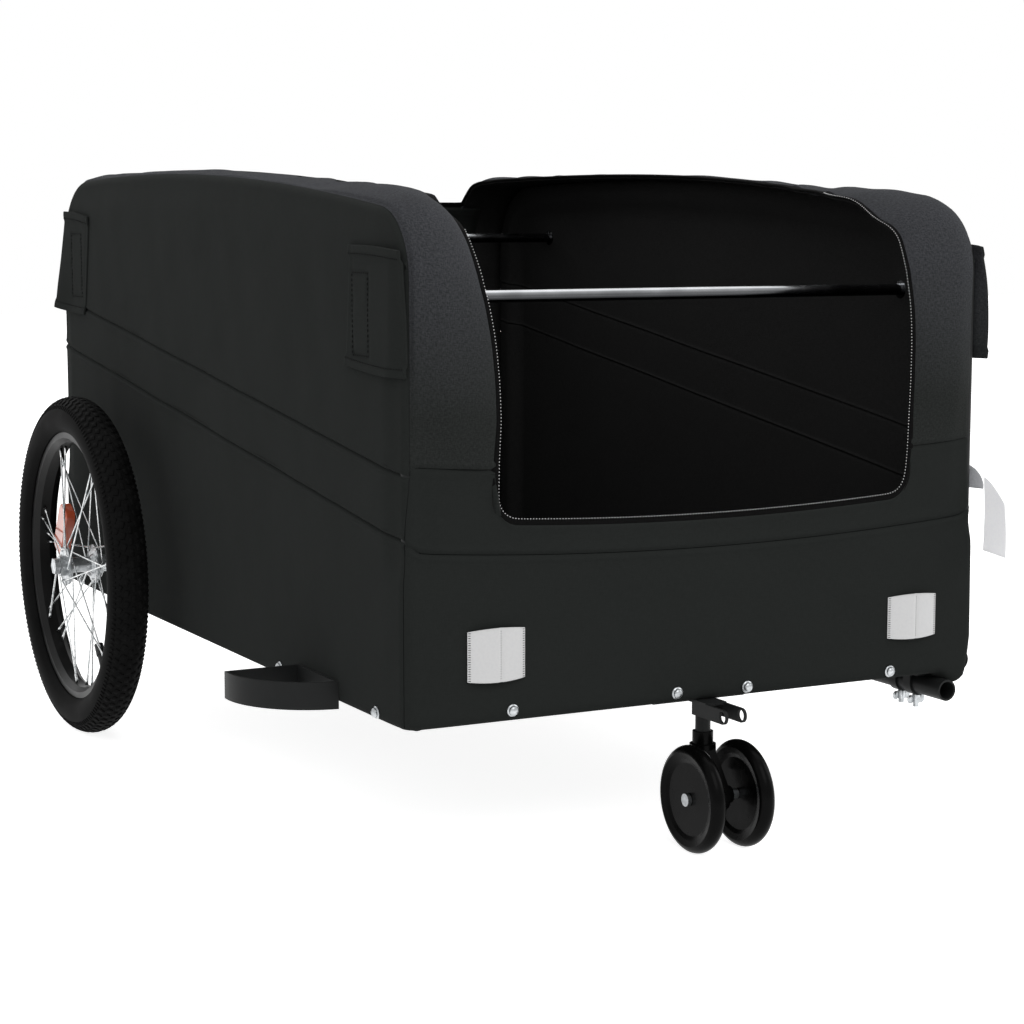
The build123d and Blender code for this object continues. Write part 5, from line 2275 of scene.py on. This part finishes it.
@dataclass(frozen=True)
class FlapShape:
    """Where a tab lies on the side, and how its loose end stands off."""

    name: str
    # Back and height of each corner: top inner, top outer, low outer, low inner.
    corners: tuple[tuple[float, float], ...]
    box: tuple[float, float, float, float]      # back from and to, height from and to
    outer_x: tuple[float, float, float]         # its loose end at the top, middle and foot
    bend: float                                 # where along it the loose part starts


RIGHT_FRONT_FLAP = FlapShape(
    "front", ((0.110, 0.584), (0.002, 0.5795), (0.002, 0.4655), (0.121, 0.4722)),
    (0.069, 0.104, 0.4825, 0.5585), (0.3262, 0.3225, 0.3195), 0.78)
LEFT_FRONT_FLAP = replace(RIGHT_FRONT_FLAP, outer_x=(0.3240, 0.3345, 0.3325), bend=0.87)
REAR_FLAP = FlapShape(
    "rear", ((0.900, 0.609), (0.998, 0.616), (1.022, 0.4955), (0.921, 0.489)),
    (0.931, 0.970, 0.511, 0.588), (0.3272, 0.3300, 0.3345), 0.45)


@dataclass(frozen=True)
class CornerFlap:
    """Loose tab at an upper corner, sewn down by a box of stitches."""

    shop: Workshop
    side: Side
    shape: FlapShape
    seated: float = 0.3272
    hem: float = 0.009
    hem_proud: float = 0.0020
    pinch: float = 0.0014               # how deep the box of stitches pulls the cloth in
    stitch: Size = (0.0036, 0.0011, 0.0009)
    stitch_step: float = 0.0048
    hem_stitch: Size = (0.0030, 0.0010, 0.0008)
    hem_step: float = 0.0036

    def grid(self) -> np.ndarray:
        """Points of the tab, rows from its top to its foot, columns from its sewn end.

        Returns:
            The points, by row and column.
        """
        across, down = np.meshgrid(spread(0, 1, 1 / 30), spread(0, 1, 1 / 28))
        corners = np.array(self.shape.corners)
        flat = ((corners[0] * (1 - across)[..., None] + corners[1] * across[..., None])
                * (1 - down)[..., None]
                + (corners[3] * (1 - across)[..., None] + corners[2] * across[..., None])
                * down[..., None])
        back, height = flat[..., 0], flat[..., 1]
        height = height + 0.0016 * np.sin(math.pi * across) * (1 - 2 * down)
        tall = np.linalg.norm(corners[3] - corners[0])
        from_edge = np.minimum(down, 1 - down) * tall
        inside = smooth_step(from_edge, self.hem - 0.0008, self.hem + 0.0006)
        hem = self.hem_proud * (1 - inside)
        from_end = across * np.linalg.norm(corners[1] - corners[0])
        hem = hem - 0.0006 * bell(from_end, 0.007, 0.0011)
        low_back, high_back, low, high = self.shape.box
        seam = np.maximum(np.abs(back - (low_back + high_back) / 2) / ((high_back - low_back) / 2),
                          np.abs(height - (low + high) / 2) / ((high - low) / 2))
        pinch = -self.pinch * bell(seam, 1.0, 0.07)
        loose = smooth_step(across, self.shape.bend, 1.0) * (0.5 + 0.5 * across)
        top, middle, foot = self.shape.outer_x
        end = top * (1 - down) * (1 - 2 * down) + middle * 4 * down * (1 - down)
        end = end + foot * down * (2 * down - 1)
        x = (self.seated + hem + pinch + (end - self.seated) * loose
             + 0.0009 * loose * ripple(back, height, 0.07, 83))
        return self.shop.tub.low.y * np.array([0, 1, 0]) + np.stack(
            [x * self.side.value, back, height], axis=-1)

    def build(self) -> bpy.types.Object:
        """Makes the tab and its stitches.

        Returns:
            The tab.
        """
        cloth = Cloth(self.shop.finishes.cover, "cover_cloth", 0.0028, 0.0009)
        name = f"{self.side.label}_{self.shape.name}_flap"
        tab = self.shop.sew(name, self.grid(), (self.side.value, 0, 0), cloth)
        # painted light: the under side takes the band cloth, whose painted sheen lightens this face
        # where it lies in shade
        tab.data.materials.append(self.shop.finishes.band)      # its under side
        tab.modifiers[THICKNESS].material_offset = 1
        low_back, high_back, low, high = self.shape.box
        corner = [(low_back, low), (high_back, low), (high_back, high), (low_back, high)]
        dense = []
        for (b0, h0), (b1, h1) in zip(corner, corner[1:] + corner[:1]):
            t = np.linspace(0, 1, 12)[:-1]
            dense += [(b0 + (b1 - b0) * k, h0 + (h1 - h0) * k) for k in t]
        box = np.array(dense)
        x = np.full(len(box), self.seated + 0.0002) * self.side.value
        path = np.stack([x, self.shop.tub.low.y + box[:, 0], box[:, 1]], 1)
        up = np.tile([self.side.value, 0.0, 0.0], (len(path), 1))
        rows = [self.shop.stitch(name + "_box_stitches", path, up,
                                 self.shop.finishes.black_thread, "cover_cloth",
                                 self.stitch_step, self.stitch, closed=True)]
        grid = self.grid()
        tall = np.linalg.norm(grid[-1, 0] - grid[0, 0])
        inset = max(1, round(self.hem / tall * (len(grid) - 1)))
        for label, row in (("top", inset), ("low", len(grid) - 1 - inset)):
            line = grid[row, 1:-1] + np.array([0.0004 * self.side.value, 0.0, 0.0])
            out = np.tile([self.side.value, 0.0, 0.0], (len(line), 1))
            rows.append(self.shop.stitch(f"{name}_{label}_stitches", line, out,
                                         self.shop.finishes.black_thread, "cover_cloth",
                                         self.hem_step, self.hem_stitch))
        self.shop.declare(tab, "hung", [f"{self.side.label}_side_cloth"], rows)
        return tab


PATCHES = (("right", -0.2317, 0.1855, 0.2322),      # place across, lower and upper edge
           ("left", 0.2424, 0.1865, 0.2285))


@dataclass(frozen=True)
class ReflectivePatch:
    """Silver patch sewn down at both sides, so that it bulges between them."""

    shop: Workshop
    name: str
    x: float
    at_front: bool
    low: float
    high: float
    width: float = 0.060
    bulge: float = 0.0034
    crease: float = 0.12                # where across it the middle crease runs
    crease_deep: float = 0.0011
    crease_width: float = 0.045
    lift: float = 0.0016                # how far its sewn sides stand off the cover
    edge_rise: float = 0.0022           # how far its upper and lower edges arch
    crease_stitch: Size = (0.0010, 0.0007, 0.0005)
    side_stitch: Size = (0.0034, 0.0007, 0.0006)
    side_share: float = 0.94            # where across it the side stitches run
    stitch_step: float = 0.0022

    def build(self) -> bpy.types.Object:
        """Makes the patch and the zigzag stitches at its sides.

        Returns:
            The patch.
        """
        across, up = np.meshgrid(spread(-1, 1, 2 / 34), spread(self.low, self.high, 0.0024))
        crease = self.crease_deep * bell(across, self.crease, self.crease_width)
        proud = self.lift + self.bulge * (1 - np.abs(across) ** 2.2) - crease
        way = -1 if self.at_front else 1
        face = self.shop.tub.low.y if self.at_front else self.shop.tub.high.y
        rise = 2 * (up - self.low) / (self.high - self.low) - 1
        up = up + self.edge_rise * rise * (1 - across ** 2)
        grid = np.stack([self.x + across * self.width / 2, face + way * proud, up], axis=-1)
        cloth = Cloth(self.shop.finishes.silver, "reflective", 0.0012, 0.0004)
        piece = self.shop.sew(self.name, grid, (0, way, 0), cloth)
        rows = []
        for label, share in (("left", self.side_share), ("right", -self.side_share),
                             ("crease", self.crease)):
            height = spread(self.low + 0.0012, self.high - 0.0012, 0.004)
            middle = label == "crease"
            out = self.lift + (self.bulge - self.crease_deep if middle else self.bulge * 0.13)
            path = np.stack([np.full(len(height), self.x + share * self.width / 2),
                             np.full(len(height), face + way * (out + 0.0001)), height], 1)
            tilt = np.tile([0.35 * np.sign(share), way, 0.0], (len(height), 1))
            rows.append(self.shop.stitch(f"{self.name}_{label}_stitches", path, tilt,
                                         self.shop.finishes.black_thread, "reflective",
                                         self.stitch_step,
                                         self.crease_stitch if middle else self.side_stitch,
                                         0.0 if middle else math.pi / 2))
        self.shop.declare(piece, "stretched", ["front_lower_cloth" if self.at_front
                                               else "rear_lower_cloth"], rows)
        return piece


@dataclass(frozen=True)
class HangTag:
    """Blank card on a loop of pale ribbon at the left front corner."""

    shop: Workshop
    card_top: float = 0.3445            # height of the card's edges, and how far they drop
    card_drop: float = 0.0245
    card_foot: float = 0.268
    foot_drop: float = 0.003
    card_x: float = 0.3325
    card_width: float = 0.0355
    card_back: float = 0.001
    ribbon_top: float = 0.357           # the ribbon's upper edge, its droop and its lower edge
    ribbon_droop: float = 0.025
    ribbon_foot: float = 0.332
    ribbon_x: float = 0.3264            # where it is sewn on, and how far it stands off
    ribbon_out: float = 0.0068
    ribbon_back: float = 0.030
    ribbon_length: float = 0.029
    thickness: float = 0.0007

    def build(self) -> None:
        """Makes the card and its ribbon."""
        tub = self.shop.tub
        across, down = np.meshgrid(spread(0, 1, 0.06), spread(0, 1, 0.05))
        height = ((self.card_top - self.card_drop * across ** 1.4) * (1 - down)
                  + (self.card_foot - self.foot_drop * across) * down)
        x = self.card_x + 0.0018 * np.sin(down * 2.6) + 0.0008 * np.cos(across * 2.4)
        reach = (self.card_width + 0.002 * down) * across
        card = np.stack([x, tub.low.y + self.card_back - reach, height], axis=-1)
        made = Cloth(self.shop.finishes.card, "tag", self.thickness, 0.0002)
        card_piece = self.shop.sew("blank_tag", card, (1, 0, 0), made)
        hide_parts("hang_tag")
        across, down = np.meshgrid(spread(0, 0.98, 0.07), spread(0, 1, 0.1))
        top = self.ribbon_top - self.ribbon_droop * (1 - np.sqrt(1 - across ** 2))
        strip = np.stack([self.ribbon_x + self.ribbon_out * across,
                          tub.low.y + self.ribbon_back - self.ribbon_length * across,
                          top * (1 - down) + self.ribbon_foot * down], axis=-1)
        made = Cloth(self.shop.finishes.ribbon, "tag", self.thickness, 0.0)
        ribbon = self.shop.sew("tag_ribbon", strip, (1, 0, 0), made)
        self.shop.declare(card_piece, "hung", ["tag_ribbon"])
        self.shop.declare(ribbon, "hung", ["left_side_cloth"])


@dataclass(frozen=True)
class ScrewRow:
    """Domed screws on washers that hold the cover to the rails."""

    shop: Workshop
    on_ends: tuple[tuple[float, float], ...] = (    # place across and height
        (-0.2142, 0.1549), (-0.0353, 0.1541), (0.0450, 0.1528), (0.2170, 0.1526))
    on_sides: tuple[tuple[float, float], ...] = (   # distance behind the front and height
        (0.060, 0.1526), (0.297, 0.1545), (0.960, 0.1530))
    end_proud: float = 0.0002
    side_x: float = 0.3252
    end_dip: float = -0.06              # how far the heads look down, as the cloth turns under
    side_dip: float = -0.10
    washer: tuple[float, float] = (0.0062, 0.0013)  # radius and height
    head: tuple[float, float] = (0.0046, 0.0034)

    def build(self) -> bpy.types.Object:
        """Makes every screw as one piece.

        Returns:
            The piece.
        """
        tub = self.shop.tub
        points, ups = [], []
        for x, height in self.on_ends:
            for face, way in ((tub.low.y, -1.0), (tub.high.y, 1.0)):
                points.append((x, face + way * self.end_proud, height))
                ups.append((0.0, way, self.end_dip))
        for side in Side:
            for back, height in self.on_sides:
                points.append((side.value * self.side_x, tub.low.y + back, height))
                ups.append((side.value, 0.0, self.side_dip))
        source = line_with_up("screw_places", np.array(points), np.array(ups), joined=False)
        screws = grow(source, self.shop.patterns.screws, "cover_screws",
                      {"Washer Radius": self.washer[0], "Washer Height": self.washer[1],
                       "Head Radius": self.head[0], "Head Height": self.head[1],
                       "Material": self.shop.finishes.zinc})
        mount(screws, Body.TRAILER)
        return screws


# ------------------------------------------------------------------ wheels
@dataclass(frozen=True)
class SpokedWheel:
    """Tyre and spokes of one wheel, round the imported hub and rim."""

    shop: Workshop
    side: Side
    section: float = 0.0235
    carcass: float = 0.0228
    flange: float = 0.0127
    flange_radius: float = 0.1592
    spokes_per_side: int = 14
    hole_radius: float = 0.019
    flange_out: float = 0.017
    end_radius: float = 0.1443
    turn: float = 2.6                   # how many steps a spoke runs round the rim
    ridges: tuple[Size, ...] = ((0.0003, 1.25, 0.05), (0.0004, 2.05, 0.06))     # round the walls
    bore: float = 0.0194                # radius of the tyre's hollow
    lip: tuple[float, float] = (-0.0015, 0.0004)    # from and to, round the flange's radius
    tread_in: float = 0.0003            # how deep the blocks are set
    # Angle, count, phase, slant and size of each ring of blocks.
    tread: tuple[tuple[float, int, float, float, Size], ...] = (
        (0.0, 96, 0.0, 0.0, (0.0052, 0.0088, 0.0010)),
        (21.0, 96, 0.5, 0.35, (0.0058, 0.0082, 0.0011)),
        (-21.0, 96, 0.5, -0.35, (0.0058, 0.0082, 0.0011)),
        (41.0, 96, 0.0, 0.5, (0.0062, 0.0064, 0.0012)),
        (-41.0, 96, 0.0, -0.5, (0.0062, 0.0064, 0.0012)),
        (59.0, 192, 0.0, 0.0, (0.0052, 0.0026, 0.0011)),
        (-59.0, 192, 0.0, 0.0, (0.0052, 0.0026, 0.0011)))
    wire: float = 0.0010
    nipple: tuple[float, float] = (0.0019, 0.012)   # radius and length

    @property
    def body(self) -> Body:
        """The wheel's body."""
        return Body.LEFT_WHEEL if self.side is Side.LEFT else Body.RIGHT_WHEEL

    def centre(self) -> Vector:
        """Middle of the wheel."""
        low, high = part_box(f"{self.side.label}_tyre")
        return (low + high) / 2

    def tyre(self) -> bpy.types.Object:
        """Makes the tyre with its moulded tread.

        Returns:
            The tyre.
        """
        low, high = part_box(f"{self.side.label}_tyre")
        outer = (high.z - low.z) / 2
        middle = outer - self.section
        centre = self.centre()
        profile = []
        for angle in np.radians(np.linspace(-141, 141, 44)):
            swell = sum(size * math.exp(-((abs(angle) - at) / width) ** 2)
                        for size, at, width in self.ridges)
            r = self.carcass + swell
            profile.append((middle + r * math.cos(angle), r * math.sin(angle)))
        lip = [self.flange_radius + part for part in self.lip]
        profile += [(radius, self.flange) for radius in lip]
        for angle in np.radians(np.linspace(128, -128, 20)):
            profile.append((middle + self.bore * math.cos(angle), self.bore * math.sin(angle)))
        profile += [(radius, -self.flange) for radius in reversed(lip)]
        name = f"{self.side.label}_tyre_carcass"
        carcass = new_object(name, lathe_mesh(name, profile, centre, self.side.value, 144))
        dress(carcass, self.shop.finishes.tyre)
        mount(carcass, self.body, [f"{self.side.label}_tyre"])
        rings = []
        for index, (angle, count, phase, slant, block) in enumerate(self.tread):
            lean = math.radians(angle)
            source = new_object("ring_start", bpy.data.meshes.new("ring_start"))
            reach = self.section - self.tread_in
            ring = grow(source, self.shop.patterns.tread, f"{self.side.label}_tread_{index}",
                        {"Count": count, "Radius": middle + reach * math.cos(lean),
                         "Offset": reach * math.sin(lean), "Tilt": lean,
                         "Phase": phase * math.tau / count, "Slant": slant, "Block": block,
                         "Centre": tuple(centre), "Material": self.shop.finishes.tyre})
            mount(ring, self.body)
            rings.append(ring)
        return carcass

    def spokes(self) -> bpy.types.Object:
        """Makes the crossed spokes, each hooked through its flange.

        Returns:
            The spokes.
        """
        centre = self.centre()
        step = math.tau / self.spokes_per_side
        points, edges = [], []
        for edge in (-1, 1):
            for i in range(self.spokes_per_side):
                way = 1 if i % 2 else -1
                hub_angle = (i + edge / 4) * step
                rim_angle = hub_angle + way * self.turn * step
                off = 0.0025 + (0.0017 if way > 0 else 0.0001)
                start = Vector((edge * (self.flange_out + way * off),
                                self.hole_radius * math.cos(hub_angle),
                                self.hole_radius * math.sin(hub_angle)))
                finish = Vector((edge * (0.003 + way * 0.0012),
                                 self.end_radius * math.cos(rim_angle),
                                 self.end_radius * math.sin(rim_angle)))
                head = start.copy()
                head.x = edge * (self.flange_out - way * 0.0028)
                run = (finish - start).normalized()
                bend = start.copy()
                bend.x -= edge * way * 0.0012
                first = len(points)
                for p in (head, bend, start + run * 0.0014, start + run * 0.004,
                          (start + finish) / 2, finish):
                    points.append((centre.x + p.x, centre.y + p.y,
                                   centre.z + p.z * self.side.value))
                edges += [(first + k, first + k + 1) for k in range(5)]
        mesh = bpy.data.meshes.new("spoke_lines")
        mesh.from_pydata(points, edges, [])
        name = f"{self.side.label}_wire_spokes"
        wires = grow(new_object("spoke_lines", mesh), self.shop.patterns.spokes, name,
                     {"Wire Radius": self.wire, "Nipple Radius": self.nipple[0],
                      "Nipple Length": self.nipple[1], "Material": self.shop.finishes.wire})
        mount(wires, self.body, [f"{self.side.label}_spokes"])
        return wires

    def build(self) -> None:
        """Makes the wheel's own pieces."""
        self.tyre()
        self.spokes()


@dataclass(frozen=True)
class WingScrews:
    """Clamp screws of the tow straps, with rounded wings across their lower ends."""

    shop: Workshop
    inset: float = 0.0051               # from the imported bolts' ends to a screw's middle
    shank: float = 0.0030
    collar: float = 0.0042
    collar_ends: tuple[float, float] = (0.0045, 0.0005)     # short of the bolt's foot and top
    wing: Size = (0.0042, 0.0013, 0.0046)                   # half sizes
    wing_out: float = 0.0070
    wing_below: float = 0.0050          # from the bolt's top to the wings' middle

    def build(self) -> None:
        """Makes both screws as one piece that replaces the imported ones."""
        low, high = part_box("tow_bolts")
        x = (low.x + high.x) / 2
        work = bmesh.new()
        foot_gap, top_gap = self.collar_ends
        for y in (low.y + self.inset, high.y - self.inset):
            for radius, foot, top in ((self.shank, low.z, high.z),
                                      (self.collar, low.z + foot_gap, high.z - top_gap)):
                made = bmesh.ops.create_cone(work, cap_ends=True, segments=20, radius1=radius,
                                             radius2=radius, depth=top - foot)
                bmesh.ops.translate(work, verts=made["verts"], vec=(x, y, (foot + top) / 2))
            for way in (-1, 1):
                wing = bmesh.ops.create_uvsphere(work, u_segments=14, v_segments=8, radius=1)
                for v in wing["verts"]:
                    v.co = Vector((x + way * self.wing_out + v.co.x * self.wing[0],
                                   y + v.co.y * self.wing[1],
                                   high.z - self.wing_below + v.co.z * self.wing[2]))
        mesh = bpy.data.meshes.new("wing_screws")
        work.to_mesh(mesh)
        work.free()
        piece = new_object("wing_screws", mesh)
        mesh.set_sharp_from_angle(angle=math.radians(40))
        dress(piece, self.shop.finishes.zinc)
        mount(piece, Body.TRAILER, ["tow_bolts"])


class FrameFinishes:
    """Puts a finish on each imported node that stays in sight."""

    BY_SLOT = {"frame_black": "frame_paint", "bar_black": "bar_painted_light", "floor_board": "board",
               "zinc": "zinc", "black_plastic": "gloss_black", "rim_black": "rim_paint",
               "valve_rubber": "valve", "amber": "amber"}

    def __init__(self, shop: Workshop, record: dict) -> None:
        """Keeps the finishes and the record.

        Args:
            shop: The workshop with the finishes.
            record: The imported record.
        """
        self.finishes = shop.finishes
        self.slots = {part["node"]: part["material_slot"] for part in record["subparts"]}

    def build(self, nodes: dict[str, bpy.types.Object]) -> None:
        """Dresses every node that isn't replaced.

        Args:
            nodes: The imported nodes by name.
        """
        for name, node in nodes.items():
            slot = self.slots[name]
            if node.hide_render or slot not in self.BY_SLOT:
                continue
            finish = getattr(self.finishes, self.BY_SLOT[slot])
            if not node.material_slots:
                node.data.materials.append(finish)
            for place in node.material_slots:
                place.material = finish


# ------------------------------------------------------------------ studio
@dataclass(frozen=True)
class Lamp:
    """A soft rectangular lamp that looks at the middle of the trailer."""

    name: str
    place: tuple[float, float, float]
    size: float
    power: float

    def hang(self, aim: Vector) -> None:
        """Adds the lamp to the scene.

        Args:
            aim: The point that it looks at.
        """
        light = bpy.data.lights.new(self.name, "AREA")
        light.shape = "SQUARE"
        light.size = self.size
        light.energy = self.power
        lamp = bpy.data.objects.new(self.name, light)
        lamp.location = self.place
        lamp.rotation_euler = (aim - Vector(self.place)).to_track_quat("-Z", "Y").to_euler()
        bpy.context.scene.collection.objects.link(lamp)


@dataclass(frozen=True)
class Studio:
    """Pale floor, soft light and the camera."""

    camera_place: tuple[float, float, float] = (-1.2017, -2.3658, 0.6098)
    camera_turn: tuple[float, float, float] = (82.781, 0.0, -27.65)
    lens: float = 82.07
    floor_size: float = 12.0
    floor_white: float = 0.80
    floor_tone: float = 0.004           # how uneven its white is
    floor_glow: float = 0.86
    sky: tuple[float, float] = (0.75, 1.0)      # its light on the trailer, and as seen
    aim: tuple[float, float, float] = (0.0, 0.0, 0.3)
    lamps: tuple[Lamp, ...] = (Lamp("key_lamp", (-0.5, -2.9, 2.8), 2.2, 35.0),
                               Lamp("top_lamp", (0.6, 0.3, 3.4), 3.0, 24.0),
                               Lamp("left_lamp", (3.2, -1.4, 1.9), 2.0, 22.0),
                               Lamp("rear_lamp", (-1.2, 3.2, 2.2), 2.0, 12.0))

    @staticmethod
    def seen_directly(write: TreeWriter) -> Socket:
        """1 for rays that see the surface from the camera, or by gloss or glass.

        Args:
            write: The material's writer.

        Returns:
            The mask.
        """
        path = write.add("ShaderNodeLightPath")
        gloss = write.math("MAXIMUM", path.outputs["Is Glossy Ray"],
                           path.outputs["Is Transmission Ray"])
        return write.math("MAXIMUM", path.outputs["Is Camera Ray"], gloss)

    def floor(self) -> None:
        """Makes the pale floor, which keeps the trailer's shadow."""
        work = bmesh.new()
        bmesh.ops.create_grid(work, x_segments=8, y_segments=8, size=self.floor_size)
        mesh = bpy.data.meshes.new("pale_floor")
        work.to_mesh(mesh)
        work.free()
        floor = new_object("pale_floor", mesh, smooth=False)
        material = bpy.data.materials.new("pale floor")
        material.use_nodes = True
        material.node_tree.nodes.clear()
        write = TreeWriter(material.node_tree)
        place = write.add("ShaderNodeTexCoord").outputs["Object"]
        noise = write.add("ShaderNodeTexNoise", {"Vector": place, "Scale": 1.2, "Detail": 2.0})
        white, uneven = self.floor_white, self.floor_tone
        tone = write.add("ShaderNodeMapRange", {0: noise.outputs[0], 3: white - uneven,
                                                4: white + uneven})
        colour = write.add("ShaderNodeCombineXYZ", {axis: tone.outputs[0] for axis in "XYZ"})
        matt = write.add("ShaderNodeBsdfDiffuse", {"Color": colour.outputs[0]})
        lift = write.math("MULTIPLY", self.seen_directly(write), self.floor_glow)
        glow = write.add("ShaderNodeEmission", {"Color": (1, 1, 1, 1), "Strength": lift})
        both = write.add("ShaderNodeAddShader", {0: matt.outputs[0], 1: glow.outputs[0]})
        write.add("ShaderNodeOutputMaterial", {"Surface": both.outputs[0]})
        dress(floor, material)

    def backdrop(self) -> None:
        """Sets a white backdrop and a softer light from all round."""
        world = bpy.data.worlds.new("studio")
        world.use_nodes = True
        world.node_tree.nodes.clear()
        write = TreeWriter(world.node_tree)
        strength = write.add("ShaderNodeMapRange", {0: self.seen_directly(write),
                                                    3: self.sky[0], 4: self.sky[1]})
        light = write.add("ShaderNodeBackground", {"Color": (1, 1, 1, 1),
                                                   "Strength": strength.outputs[0]})
        write.add("ShaderNodeOutputWorld", {"Surface": light.outputs[0]})
        bpy.context.scene.world = world

    def camera(self) -> None:
        """Places the camera."""
        data = bpy.data.cameras.new("camera")
        data.lens = self.lens
        data.sensor_width = 36.0
        data.clip_end = 60.0
        camera = bpy.data.objects.new("camera", data)
        camera.location = self.camera_place
        camera.rotation_euler = [math.radians(turn) for turn in self.camera_turn]
        bpy.context.scene.collection.objects.link(camera)
        bpy.context.scene.camera = camera

    def build(self) -> None:
        """Sets up the whole studio."""
        self.floor()
        self.backdrop()
        self.camera()
        for lamp in self.lamps:
            lamp.hang(Vector(self.aim))
        bpy.context.scene.view_settings.view_transform = "Standard"


def main() -> None:
    """Builds the whole trailer and its studio."""
    logging.basicConfig(level=logging.INFO, format="%(levelname)s %(message)s")
    low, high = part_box("left_side_panel")
    tub = Tub(low=low, high=high)
    shop = Workshop(tub, Finishes(Effects()), Patterns())
    panels = EndPanels(shop)
    for side in Side:
        SideWall(shop, side).build()
        TopBand(shop, side).build()
    panels.build()
    EdgeBinding(shop, panels).build()
    tabs = []
    for side in Side:
        front = RIGHT_FRONT_FLAP if side is Side.RIGHT else LEFT_FRONT_FLAP
        tabs += [CornerFlap(shop, side, shape).build() for shape in (front, REAR_FLAP)]
        SpokedWheel(shop, side).build()
    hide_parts("corner_flaps")
    for at_front, node in ((True, "front_patches"), (False, "rear_patches")):
        name = node[:-2]
        patches = [ReflectivePatch(shop, f"{name}_{label}", x, at_front, low, high).build()
                   for label, x, low, high in PATCHES]
        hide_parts(node)
    HangTag(shop).build()
    ScrewRow(shop).build()
    WingScrews(shop).build()
    FrameFinishes(shop, frame["record"]).build(frame["nodes"])
    Studio().build()


if __name__ == "__main__":
    main()
